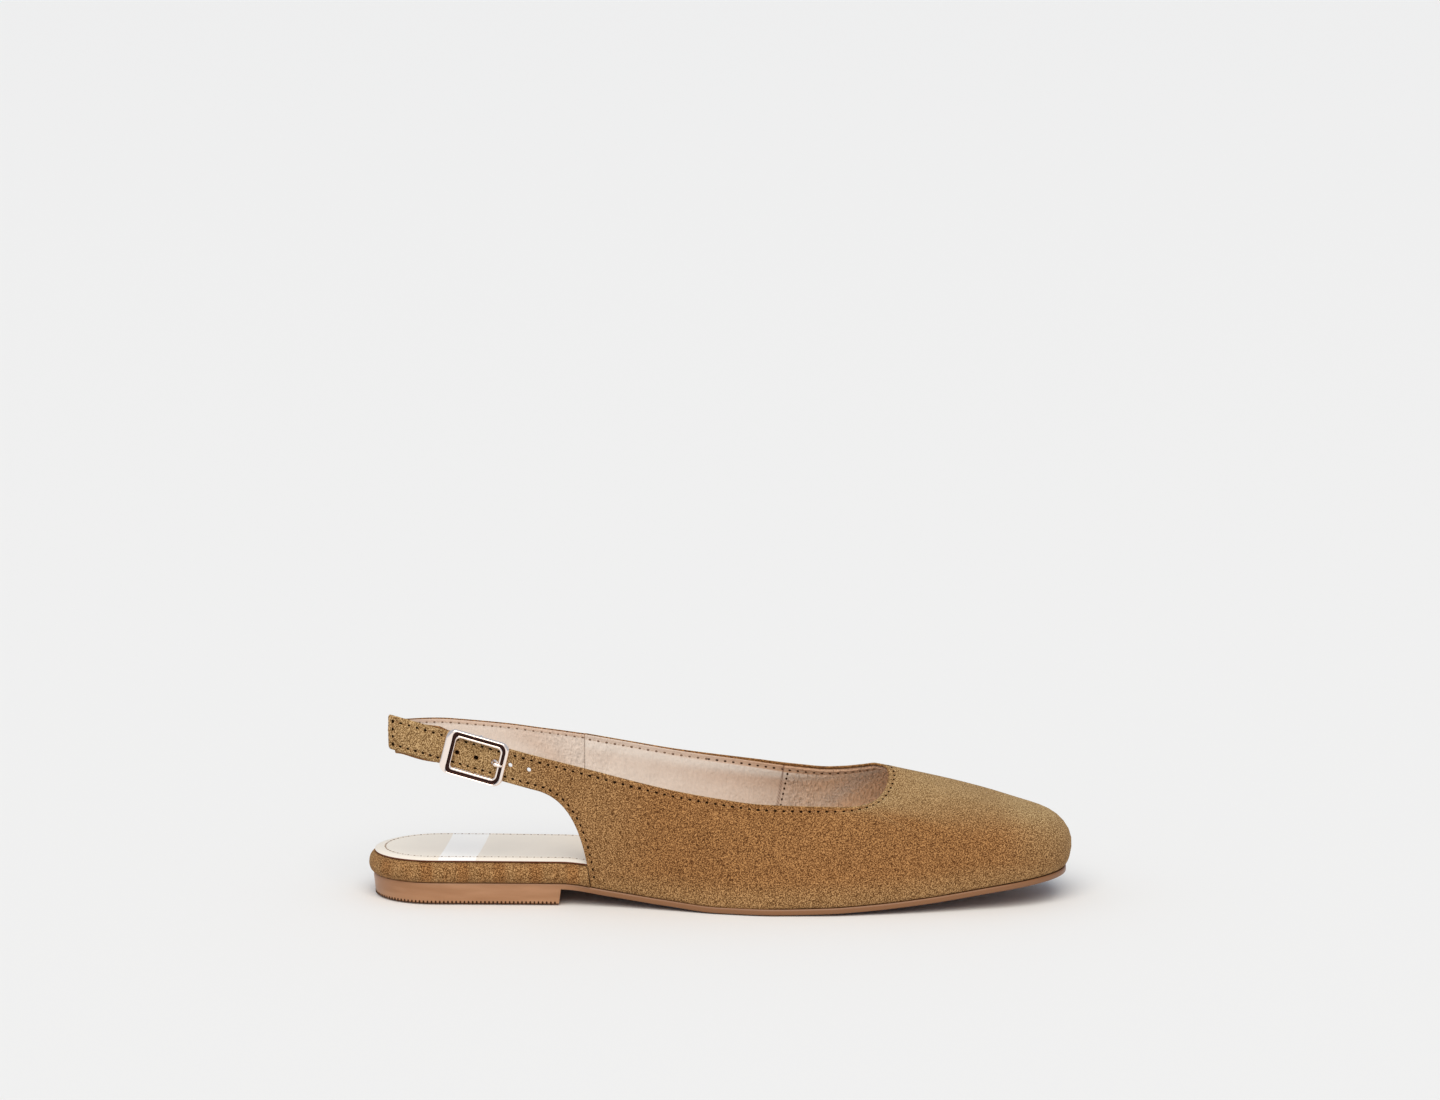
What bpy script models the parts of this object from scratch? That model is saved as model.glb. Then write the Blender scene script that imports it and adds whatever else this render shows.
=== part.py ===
"""Flat slingback shoe for the right foot: suede upper, buckled heel strap, thin sole on a low heel.

Frame: metres, +Z up, toe along +X, outer (lateral) side at -Y, origin on the floor under the
middle of the shoe. The sizes and tables below are in millimetres or in per cent of a driving size.
"""

from collections import namedtuple
from math import cos, pi, radians, sin

import bmesh
import bpy
import numpy as np
from mathutils import Matrix, Vector

MM = 0.001
WELD = 0.002

# Driving sizes of the last
SOLE_LENGTH = 255.6
HEEL_BACK = -128.0
BALL_WIDTH = 77.4
INSTEP = 47.0
HEEL_RISE = 5.7
HEEL_ARC = 24.5
TOE_ARC = 31.6
HEEL_SQUARENESS = 2.1
TOE_SQUARENESS = 2.9

# Thicknesses and clearances
GAP = 0.3
SOLE_THICK = 2.6
SOCK_THICK = 1.2
WALL = 1.8
STRAP_THICK = 1.5

# Heel and wrapped heel seat
BREAST_X = -56.8
BREAST_SLOPE = 1.5
HEEL_TAPER = 0.6
SEAT_BULGE = 1.7
SEAT_END_X = -47.6
SEAT_END_SLANT = 1.2
STEP_TURN = 0.0002
STATION_CLEAR = 0.02
BED_CLEARANCE = WALL + 0.6
SOCK_CLEARANCE = WALL + 1.0
SOCK_AT_RAND = 0.5
SOCK_NARROWS = (-66.0, -50.0)

# Sole, one row for each station of the last: along is per cent of the sole's length, lateral and
# medial per cent of the ball width, lift the sole's height off the floor and bed the footbed's
# thickness.
Station = namedtuple("Station", "along lateral medial lift bed")
LAST = (
    Station(0.0, -25.8, 36.2, HEEL_RISE, 7.2),
    Station(11.0, -26.6, 37.0, HEEL_RISE, 7.2),
    Station(27.4, -28.2, 34.6, HEEL_RISE, 7.1),
    Station(34.4, -31.8, 32.2, 3.65, 6.8),
    Station(42.3, -38.5, 30.9, 1.4, 5.2),
    Station(50.1, -46.3, 33.3, 0.0, 3.4),
    Station(57.9, -50.6, 41.3, 0.0, 2.2),
    Station(64.9, -50.6, 47.8, 0.35, 2.0),
    Station(71.6, -48.3, 49.4, 1.25, 2.0),
    Station(79.4, -43.9, 46.9, 3.0, 2.0),
    Station(89.2, -36.2, 40.3, 6.0, 2.0),
    Station(100.0, -27.1, 32.3, 9.0, 2.0),
)

# Upper, one row for each section, from the tip of the lateral strap round the toe to the medial
# seam. foot is the turn round the lower edge: strap -1 to 0, back edge up to QUARTER_TURN, then
# the feather line, where 2 is the start of the toe, 3 its tip and 4 its medial end. along, side
# and height place the top edge, in per cent of sole length, ball width and instep. flare and rise
# lead the wall out and up from its foot, reach and drop lead it out and down from its top edge.
Section = namedtuple("Section", "foot along side height flare rise reach drop")
QUARTER_TURN = 1.283
UPPER = (
    Section(-1.0, 2.9, -20.5, 148.1, 0.0, 4.0, 0.0, 4.0),
    Section(0.0, 23.9, -30.4, 118.3, 0.0, 4.0, 0.0, 4.0),
    Section(0.64, 30.5, -32.0, 109.6, 0.6, 9.0, 0.3, 9.0),
    Section(1.283, 39.1, -34.1, 98.1, 1.2, 13.0, 0.5, 13.0),
    Section(1.393, 43.8, -35.4, 92.6, 1.4, 13.0, 0.8, 12.5),
    Section(1.519, 50.1, -36.6, 86.8, 1.8, 13.0, 1.5, 12.0),
    Section(1.619, 55.6, -37.1, 82.8, 2.2, 13.0, 2.2, 11.0),
    Section(1.719, 60.6, -36.8, 81.5, 2.4, 13.0, 3.2, 10.0),
    Section(1.820, 64.9, -35.7, 80.9, 2.6, 13.5, 5.0, 9.0),
    Section(1.920, 68.3, -33.1, 80.2, 2.8, 14.0, 8.0, 7.5),
    Section(2.00, 70.4, -29.5, 80.6, 4.0, 15.5, 12.0, 5.5),
    Section(2.33, 72.3, -23.0, 82.8, 5.5, 17.0, 21.0, 4.0),
    Section(2.67, 73.7, -12.3, 87.7, 8.5, 18.5, 34.0, 3.5),
    Section(3.00, 74.5, 0.6, 95.5, 10.4, 18.6, 43.7, 8.0),
    Section(3.33, 74.1, 8.4, 99.6, 8.5, 17.8, 38.0, 9.0),
    Section(3.67, 72.7, 15.0, 99.8, 5.5, 17.0, 27.0, 8.5),
    Section(4.00, 70.4, 20.7, 97.0, 4.0, 16.5, 18.0, 7.5),
    Section(4.08, 68.1, 25.5, 94.3, 3.0, 15.5, 13.0, 8.5),
    Section(4.18, 64.8, 30.1, 92.6, 2.6, 15.0, 8.0, 9.5),
    Section(4.281, 60.6, 34.1, 93.4, 2.2, 14.5, 4.5, 11.0),
    Section(4.381, 55.2, 37.0, 96.0, 1.8, 14.0, 2.5, 12.5),
    Section(4.481, 49.3, 38.0, 99.4, 1.4, 14.0, 1.2, 14.0),
    Section(4.607, 43.4, 38.2, 103.6, 1.2, 14.0, 0.8, 14.0),
    Section(4.717, 37.2, 38.1, 109.4, 1.0, 13.0, 0.5, 13.0),
    Section(4.95, 30.3, 37.7, 116.2, 0.6, 9.0, 0.3, 9.0),
)
WALL_BELLY = 1.4

# Stations where a quarter's wall turns upright towards its strap, and where the vamp grows round
LATERAL_UPRIGHT = (-44.0, -66.0)
MEDIAL_UPRIGHT = (-36.0, -51.0)
VAMP_ROUNDS = (-8.0, 34.0)

# Lateral strap and the concave back edge that it grows out of
STRAP_HEIGHT = 12.2
EDGE_FROM_STRAP = (13.0, -2.9)
EDGE_TO_FEATHER = (-2.2, 18.6)
SEAM_ON_EDGE = 0.645

# Heel strap, one row for each station of its run: the medial straight is 0 to 1, the turn round
# the heel 1 to 2, the lateral straight 2 to 3; top and bottom are the heights of its edges.
Band = namedtuple("Band", "run top bottom")
HEEL_STRAP = (
    Band(0.00, 54.6, 25.6),
    Band(0.03, 54.8, 30.4),
    Band(0.08, 55.2, 35.4),
    Band(0.18, 56.0, 40.2),
    Band(0.33, 57.1, 44.0),
    Band(0.55, 58.8, 46.4),
    Band(1.00, 61.2, 48.7),
    Band(1.27, 62.3, 49.8),
    Band(1.50, 64.2, 51.7),
    Band(1.72, 65.9, 53.4),
    Band(1.92, 65.6, 52.6),
    Band(2.25, 63.6, 51.5),
    Band(3.00, 60.9, 49.5),
)
HEEL_TURN_CENTRE = (-99.1, 3.9)
HEEL_TURN_RADIUS = 20.0

# Buckle, in the strap's own directions: along the strap to the toe, up across it and out of it
BUCKLE_X = -88.9
BUCKLE_DROP = 0.4
FRAME_LENGTH = 24.0
FRAME_HEIGHT = 16.6
FRAME_CORNER = 3.6
FRAME_DEPTH = 1.8
FRAME_BEVEL = 0.45
BAR_WIDTH = 3.1
RAIL_WIDTH = 2.6
PIN_RADIUS = 0.7
POST_UP = 7.2
PIN_HALF = 6.2
PRONG_RADIUS = 0.7
PRONG_REST_DEPTH = 0.8
PRONG_SLOT = (9.0, 3.0, 8.0)
PRONG_SLOT_ALONG = 1.1
HOLE_PITCH = 6.9
HOLE_RADIUS = 0.85
PRONG_HOLE_RADIUS = 1.3
FIRST_HOLE = -6.0
HOLE_COUNT = 5
PRONG_HOLE = FIRST_HOLE + 2 * HOLE_PITCH
FOLD_LENGTH = 13.0
FOLD_HEIGHT = 11.4
FOLD_RADIUS = PIN_RADIUS + GAP + STRAP_THICK / 2
PIN_OUT = -WALL - GAP - STRAP_THICK / 2 - FOLD_RADIUS


def curve_through(keys, values, at):
    """Monotone cubic curve through one column of a short table."""
    keys = np.asarray(keys, float)
    values = np.asarray(values, float)
    at = np.asarray(at, float)
    steps = np.diff(keys)
    slopes = np.diff(values) / steps
    product = slopes[:-1] * slopes[1:]
    total = np.where(product > 0, slopes[:-1] + slopes[1:], 1.0)
    inner = np.where(product > 0, 2.0 * product / total, 0.0)
    tangents = np.concatenate((slopes[:1], inner, slopes[-1:]))
    i = np.clip(np.searchsorted(keys, at) - 1, 0, len(steps) - 1)
    u = (at - keys[i]) / steps[i]
    rise = values[i + 1] - values[i]
    lead = steps[i] * tangents[i]
    trail = steps[i] * tangents[i + 1]
    return values[i] + u * (lead + u * (3 * rise - 2 * lead - trail + u * (lead + trail - 2 * rise)))


def column(table, name):
    """One named column of a table."""
    return [getattr(row, name) for row in table]


def smooth_step(low, high, at):
    """Ease from 0 at low to 1 at high."""
    u = np.clip((np.asarray(at, float) - low) / (high - low), 0.0, 1.0)
    return u * u * (3.0 - 2.0 * u)


def along_sole(percent):
    """X of a station given in per cent of the sole's length."""
    return HEEL_BACK + SOLE_LENGTH * np.asarray(percent, float) / 100.0


HEEL_X = HEEL_BACK + HEEL_ARC
TOE_X = HEEL_BACK + SOLE_LENGTH - TOE_ARC
LAST_X = along_sole(column(LAST, "along"))


def last_at(name, x):
    """A column of the last's table at station x."""
    return curve_through(LAST_X, column(LAST, name), x)


def sole_top(x):
    """Height of the outsole's upper face."""
    return last_at("lift", x) + SOLE_THICK


def superellipse(angle, power):
    """Unit superellipse: distance along its axis and across it."""
    c, s = np.cos(angle), np.sin(angle)
    reach = (np.abs(c) ** power + np.abs(s) ** power) ** (-1.0 / power)
    return np.abs(c) * reach, np.abs(s) * reach


def rim(turn, grow=0.0):
    """Plan outline of the last, from the back of the heel (0) by the toe tip (3) to the heel (6).

    grow moves the outline outwards. The lateral side is turn 1 to 2, the medial side 4 to 5.
    """
    turn = np.asarray(turn, float)
    side = np.where(turn <= 3.0, -1.0, 1.0)
    t = np.where(turn <= 3.0, turn, 6.0 - turn)
    back, across_heel = superellipse(np.clip(t, 0, 1) * pi / 2, HEEL_SQUARENESS)
    across_toe, front = superellipse(np.clip(t - 2, 0, 1) * pi / 2, TOE_SQUARENESS)
    x = HEEL_X + np.clip(t - 1, 0, 1) * (TOE_X - HEEL_X)
    x = np.where(t < 1, HEEL_X - (HEEL_ARC + grow) * back, x)
    x = np.where(t > 2, TOE_X + (TOE_ARC + grow) * front, x)
    closing = np.where(t < 1, across_heel, np.where(t > 2, across_toe, 1.0))
    lateral = last_at("lateral", x) * BALL_WIDTH / 100.0
    medial = last_at("medial", x) * BALL_WIDTH / 100.0
    half = (medial - lateral) / 2.0 + grow
    return x, (medial + lateral) / 2.0 + side * half * closing


def turn_at(x, side=-1):
    """Turn of the outline's straight stretch at station x."""
    turn = 1.0 + (x - HEEL_X) / (TOE_X - HEEL_X)
    return turn if side < 0 else 6.0 - turn


# Stations of the plate-like pieces, close together round the heel and the toe
HEEL_TURNS = np.linspace(0.0, 0.95, 16)
WAIST_TURNS = np.concatenate((np.linspace(1.0, 1.4, 17), np.linspace(1.44, 2.0, 15)))
TOE_TURNS = np.linspace(2.07, 3.0, 14)
ALL_TURNS = np.concatenate((HEEL_TURNS, WAIST_TURNS, TOE_TURNS))


def collection(name):
    """A new collection in the scene."""
    made = bpy.data.collections.new(name)
    bpy.context.scene.collection.children.link(made)
    return made


def material(name, colour, roughness, metallic=0.0):
    """Plain Principled material; colour is linear red, green and blue."""
    made = bpy.data.materials.new(name)
    made.use_nodes = True
    shader = made.node_tree.nodes["Principled BSDF"]
    shader.inputs["Base Color"].default_value = (*colour, 1.0)
    shader.inputs["Roughness"].default_value = roughness
    shader.inputs["Metallic"].default_value = metallic
    return made


def mesh_object(name, points, faces, home, look, smooth=True):
    """An object from points in millimetres and faces, with its normals turned outwards."""
    mesh = bpy.data.meshes.new(name)
    mesh.from_pydata([tuple(float(c) * MM for c in p) for p in points], [], faces)
    bm = bmesh.new()
    bm.from_mesh(mesh)
    bmesh.ops.remove_doubles(bm, verts=bm.verts, dist=WELD * MM)
    bmesh.ops.recalc_face_normals(bm, faces=bm.faces)
    bm.to_mesh(mesh)
    bm.free()
    if smooth:
        mesh.shade_smooth()
        mesh.set_sharp_from_angle(angle=radians(40))
    made = bpy.data.objects.new(name, mesh)
    home.objects.link(made)
    if look:
        mesh.materials.append(look)
    return made


def loft(name, loops, home, look, capped=True):
    """Closed solid through closed loops of equal count, with a face over each end.

    Uncapped ends are loops that have closed to a line, whose two sides are welded.
    """
    count = len(loops[0])
    points = [p for loop in loops for p in loop]
    faces = []
    for i in range(len(loops) - 1):
        for j in range(count):
            k = (j + 1) % count
            low, high = i * count, (i + 1) * count
            faces.append((low + j, low + k, high + k, high + j))
    if capped:
        faces.append(tuple(range(count)))
        faces.append(tuple(range((len(loops) - 1) * count, len(loops) * count)))
    return mesh_object(name, points, faces, home, look)


def plate_loop(turn, rows):
    """One section of a plate: its profile up the lateral rim and down the medial rim.

    rows are (grow, height, slant): height is a function of the station, slant leans the section.
    """
    loop = []
    for side_turn, ordered in ((turn, rows), (6.0 - turn, rows[::-1])):
        for grow, height, slant in ordered:
            x, y = rim(side_turn, grow)
            loop.append((x + slant, y, height(x + slant)))
    return loop


def stations_beside(step):
    """The plates' stations behind and ahead of a step in their outline."""
    behind = [turn for turn in ALL_TURNS if turn < step - STATION_CLEAR]
    ahead = [turn for turn in ALL_TURNS if turn > step + STATION_CLEAR]
    return behind, ahead


def above_lift(rise):
    """Height function: a rise above the sole's underside."""
    return lambda x: last_at("lift", x) + rise


def build_outsole(home, look):
    """Moulded unit sole: thin, with arch and toe spring, on a low heel with a straight breast."""
    upper_rows = ((0.0, above_lift(0.9), 0.0), (0.0, above_lift(SOLE_THICK - 0.6), 0.0),
                  (-0.4, above_lift(SOLE_THICK), 0.0))
    thin = ((-1.2, above_lift(0.0), 0.0), (-0.5, above_lift(0.1), 0.0), (-0.15, above_lift(0.4), 0.0))
    heel_levels = ((HEEL_TAPER + 1.1, 0.0), (HEEL_TAPER + 0.3, 0.3), (HEEL_TAPER, 1.1))
    heel = tuple((-inset, lambda x, z=z: z, 0.0) for inset, z in heel_levels)
    breast = tuple((-inset, lambda x, z=z: z, -BREAST_SLOPE * (1.0 - z / HEEL_RISE))
                   for inset, z in heel_levels)
    step = turn_at(BREAST_X)
    behind, ahead = stations_beside(step)
    loops = [plate_loop(turn, heel + upper_rows) for turn in behind]
    loops.append(plate_loop(step, breast + upper_rows))
    loops.append(plate_loop(step + STEP_TURN, thin + upper_rows))
    loops += [plate_loop(turn, thin + upper_rows) for turn in ahead]
    return loft("outsole", loops, home, look, capped=False)


def bed_height(x):
    """Thickness of the footbed at a station."""
    return last_at("bed", x)


def on_bed(share, extra=0.0):
    """Height function: a share of the footbed's thickness, and something extra, above the sole."""
    return lambda x: sole_top(x) + GAP + share * bed_height(x) + extra


def build_footbed(home, look):
    """Wrapped insole board: a rounded rand round the heel seat, then inside the upper's walls."""
    profile = ((0.2, 0.0), (1.2, 0.14), (SEAT_BULGE, 0.4), (1.5, 0.66), (0.6, 0.88), (-1.0, 1.0))

    def rows(inside, slanted):
        made = []
        for grow, share in profile:
            slant = -SEAT_END_SLANT * share if slanted else 0.0
            made.append((-BED_CLEARANCE if inside else grow, on_bed(share), slant))
        return tuple(made)

    step = turn_at(SEAT_END_X)
    behind, ahead = stations_beside(step)
    loops = [plate_loop(turn, rows(False, False)) for turn in behind]
    loops.append(plate_loop(step, rows(False, True)))
    loops.append(plate_loop(step + STEP_TURN, rows(True, True)))
    loops += [plate_loop(turn, rows(True, False)) for turn in ahead]
    return loft("footbed", loops, home, look, capped=False)


def sock_grow(x):
    """How far the leather sock's edge lies outside the last: at the rand, then inside the walls."""
    return -SOCK_AT_RAND - (SOCK_CLEARANCE - SOCK_AT_RAND) * smooth_step(*SOCK_NARROWS, x)


def build_insole(home, look):
    """Leather sock lying on the footbed."""
    edge = ((-0.2, 0.0), (0.0, 0.4), (0.0, 0.8), (-0.3, 1.0))
    loops = []
    for turn in ALL_TURNS:
        grow = sock_grow(rim(turn)[0])
        rows = tuple((grow + extra, on_bed(1.0, GAP + share * SOCK_THICK), 0.0) for extra, share in edge)
        loops.append(plate_loop(turn, rows))
    return loft("insole", loops, home, look, capped=False)


FOOT_TURNS = column(UPPER, "foot")


def section_at(name, turn):
    """A column of the upper's table at a turn of its lower edge."""
    return curve_through(FOOT_TURNS, column(UPPER, name), turn)


def topline(turn):
    """Top edge of the upper's outer face."""
    x = along_sole(section_at("along", turn))
    y = section_at("side", turn) * BALL_WIDTH / 100.0
    z = section_at("height", turn) * INSTEP / 100.0
    return np.array((x, y, z))


def back_edge(share):
    """Concave rear edge of a quarter in side view, from the strap (0) to the feather line (1)."""
    x0, _, z0 = topline(0.0)
    start = np.array((x0, z0 - STRAP_HEIGHT))
    end_x = rim(QUARTER_TURN)[0]
    end = np.array((end_x, sole_top(end_x) + GAP))
    lead = start + np.array(EDGE_FROM_STRAP)
    trail = end + np.array(EDGE_TO_FEATHER)
    u = share
    return (1 - u) ** 3 * start + 3 * u * (1 - u) ** 2 * lead + 3 * u * u * (1 - u) * trail + u ** 3 * end


# Top edges of the two quarters by station, from the strap's tip and from the seam to the throat
LATERAL_TOP = np.array([topline(t) for t in np.linspace(-1.0, 1.95, 80)]).T
MEDIAL_TOP = np.array([topline(t) for t in np.linspace(4.95, 4.05, 60)]).T


def wall_y(x, z, side):
    """Outer face of a quarter: y at a point of its side view."""
    top_x, top_y, top_z = LATERAL_TOP if side < 0 else MEDIAL_TOP
    edge_y = np.interp(x, top_x, top_y)
    edge_z = np.interp(x, top_x, top_z)
    foot_y = rim(turn_at(x, side))[1]
    foot_z = sole_top(x) + GAP
    q = np.clip((z - foot_z) / (edge_z - foot_z), 0.0, 1.0)
    wall = edge_y + (foot_y - edge_y) * (1.0 - q) + side * WALL_BELLY * sin(pi * q)
    upright = smooth_step(*(LATERAL_UPRIGHT if side < 0 else MEDIAL_UPRIGHT), x)
    return wall + (edge_y - wall) * upright


def foot_point(turn):
    """Lower edge of the upper's outer face."""
    if turn < 0.0:
        x, y, z = topline(turn)
        return np.array((x, y, z - STRAP_HEIGHT))
    if turn < QUARTER_TURN:
        x, z = back_edge(turn / QUARTER_TURN)
        return np.array((x, wall_y(x, z, -1), z))
    if turn > 6.0 - QUARTER_TURN:
        climb = (turn - 6.0 + QUARTER_TURN) / (FOOT_TURNS[-1] - 6.0 + QUARTER_TURN)
        x, z = back_edge(1.0 - climb * (1.0 - SEAM_ON_EDGE))
        return np.array((x, wall_y(x, z, 1), z))
    x, y = rim(turn)
    return np.array((x, y, sole_top(x) + GAP))


def outward(path, turn):
    """Level direction out of the shoe at a turn of the given edge."""
    before, after = path(turn - 0.01), path(turn + 0.01)
    along = after - before
    normal = np.array((along[1], -along[0], 0.0))
    return normal / np.linalg.norm(normal)


def vamp_share(turn):
    """0 on the quarters' ruled walls, 1 on the rounded vamp."""
    start, full = VAMP_ROUNDS
    lateral = smooth_step(turn_at(start), turn_at(full), turn)
    medial = smooth_step(turn_at(start, 1), turn_at(full, 1), turn)
    return float(lateral * medial)


def upper_line(turn, shares):
    """One line of the upper's outer face, from its foot to its top edge."""
    foot, top = foot_point(turn), topline(turn)
    rounded = vamp_share(turn)
    lead, trail = foot + (top - foot) / 3.0, top - (top - foot) / 3.0
    if rounded > 0.0:
        up = np.array((0.0, 0.0, 1.0))
        round_lead = foot + section_at("flare", turn) * outward(foot_point, turn)
        round_lead = round_lead + section_at("rise", turn) * up
        round_trail = top + section_at("reach", turn) * outward(topline, turn)
        round_trail = round_trail - section_at("drop", turn) * up
        lead = lead + (round_lead - lead) * rounded
        trail = trail + (round_trail - trail) * rounded
    side = -1 if turn < 3.0 else 1
    line = []
    for u in shares:
        p = (1 - u) ** 3 * foot + 3 * u * (1 - u) ** 2 * lead + 3 * u * u * (1 - u) * trail + u ** 3 * top
        if rounded < 1.0:
            ruled = wall_y(p[0], p[2], side)
            p[1] = ruled + (p[1] - ruled) * rounded
        line.append(p)
    return line


STRAP_TURNS = np.linspace(-1.0, 0.0, 13)[:-1]
EDGE_TURNS = np.linspace(0.0, QUARTER_TURN, 13)[:-1]
FEATHER_TURNS = np.concatenate((np.linspace(QUARTER_TURN, 2.0, 21), np.linspace(2.06, 3.94, 33),
                                np.linspace(4.0, 6.0 - QUARTER_TURN, 21)))
SEAM_TURNS = np.linspace(6.0 - QUARTER_TURN, FOOT_TURNS[-1], 8)[1:]
UPPER_TURNS = np.concatenate((STRAP_TURNS, EDGE_TURNS, FEATHER_TURNS, SEAM_TURNS))
UPPER_SHARES = np.linspace(0.0, 1.0, 12)


def build_upper(home, look, cutters):
    """Vamp, quarters and lateral strap as one hollow wall, with the buckle holes in the strap."""
    grid = [upper_line(turn, UPPER_SHARES) for turn in UPPER_TURNS]
    count = len(UPPER_SHARES)
    points = [p for line in grid for p in line]
    faces = []
    for i in range(len(grid) - 1):
        for j in range(count - 1):
            low, high = i * count + j, (i + 1) * count + j
            faces.append((low, high, high + 1, low + 1))
    made = mesh_object("upper", points, faces, home, look)
    facing_toe = max(made.data.polygons, key=lambda face: face.center.x)
    shell = made.modifiers.new("wall", "SOLIDIFY")
    shell.thickness = WALL * MM
    shell.offset = -1.0 if facing_toe.normal.x > 0 else 1.0
    shell.use_even_offset = True
    for cutter in cutters:
        cut = made.modifiers.new(cutter.name, "BOOLEAN")
        cut.operation = "DIFFERENCE"
        cut.object = cutter
    return made


def strap_face(x):
    """A point on the centre line of the lateral strap's outer face."""
    span = (x - LATERAL_TOP[0][0]) / (topline(0.0)[0] - LATERAL_TOP[0][0])
    tip, root = topline(-1.0), topline(0.0)
    return tip + (root - tip) * span - np.array((0.0, 0.0, STRAP_HEIGHT / 2))


# Directions of the buckled strap: its outer face at the buckle, along it, out of it, across it
STRAP_ORIGIN = Vector(strap_face(BUCKLE_X)) - Vector((0.0, 0.0, BUCKLE_DROP))
STRAP_ALONG = Vector(strap_face(BUCKLE_X + 1.0) - strap_face(BUCKLE_X)).normalized()
STRAP_OUT = Vector((STRAP_ALONG.y, -STRAP_ALONG.x, 0.0)).normalized()
STRAP_UP = STRAP_OUT.cross(STRAP_ALONG)
if STRAP_UP.z < 0:
    STRAP_UP = -STRAP_UP


def on_strap(along, up, out):
    """World point, in millimetres, from distances in the strap's own directions."""
    return STRAP_ORIGIN + STRAP_ALONG * along + STRAP_UP * up + STRAP_OUT * out


def strap_matrix(along=0.0, up=0.0, out=0.0):
    """Placement, in metres, of a shape drawn with x along the strap, y up across it and z out."""
    turned = Matrix((STRAP_ALONG, STRAP_UP, STRAP_OUT)).transposed().to_4x4()
    return Matrix.Translation(on_strap(along, up, out) * MM) @ turned


def cylinder_cutter(name, along, radius, home):
    """Round punch through the lateral strap."""
    bm = bmesh.new()
    bmesh.ops.create_cone(bm, cap_ends=True, segments=16, radius1=radius * MM, radius2=radius * MM,
                          depth=3 * WALL * MM)
    bmesh.ops.transform(bm, matrix=strap_matrix(along, 0.0, -WALL / 2), verts=bm.verts)
    return cutter_object(name, bm, home)


def box_cutter(name, size, place, home):
    """Square-cornered cutter in the strap's own directions."""
    bm = bmesh.new()
    bmesh.ops.create_cube(bm, size=1.0)
    bmesh.ops.scale(bm, vec=Vector(size) * MM, verts=bm.verts)
    bmesh.ops.transform(bm, matrix=strap_matrix(*place), verts=bm.verts)
    return cutter_object(name, bm, home)


def cutter_object(name, bm, home):
    """Hidden wire object that holds a cutter's mesh."""
    bmesh.ops.recalc_face_normals(bm, faces=bm.faces)
    mesh = bpy.data.meshes.new(name)
    bm.to_mesh(mesh)
    bm.free()
    made = bpy.data.objects.new(name, mesh)
    made.hide_render = True
    made.display_type = "WIRE"
    home.objects.link(made)
    return made


def heel_strap_path():
    """Plan of the heel strap's middle, as (run, x, y), from the medial seam to the buckle's bar."""
    centre = np.array(HEEL_TURN_CENTRE)
    seam_x, seam_y, _ = topline(FOOT_TURNS[-1])
    seam = np.array((seam_x - GAP, seam_y - WALL / 2))
    lateral_out = np.array((STRAP_OUT.x, STRAP_OUT.y))
    bar_layer = np.array(on_strap(0.0, 0.0, -WALL - GAP - STRAP_THICK / 2))[:2]
    strap_plan = np.array((STRAP_ALONG.x, STRAP_ALONG.y))
    strap_plan = strap_plan / np.linalg.norm(strap_plan)
    reach = np.dot(centre - bar_layer, strap_plan)
    turn_end = bar_layer + reach * strap_plan
    radius_end = np.linalg.norm(turn_end - centre)
    to_seam = seam - centre
    bearing = np.arctan2(to_seam[1], to_seam[0])
    start = bearing + np.arccos(HEEL_TURN_RADIUS / np.linalg.norm(to_seam))
    finish = np.arctan2(lateral_out[1], lateral_out[0]) + 2 * pi
    turn_start = centre + HEEL_TURN_RADIUS * np.array((cos(start), sin(start)))
    path = []
    for u in np.linspace(0.0, 1.0, 17)[:-1] ** 1.5:
        path.append((u, *(seam + (turn_start - seam) * u)))
    for u in np.linspace(0.0, 1.0, 19)[:-1]:
        angle = start + (finish - start) * u
        radius = HEEL_TURN_RADIUS + (radius_end - HEEL_TURN_RADIUS) * float(smooth_step(0.5, 1.0, u))
        path.append((1.0 + u, *(centre + radius * np.array((cos(angle), sin(angle))))))
    for u in np.linspace(0.0, 1.0, 6):
        path.append((2.0 + u, *(turn_end + (bar_layer - turn_end) * u)))
    return path


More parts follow.
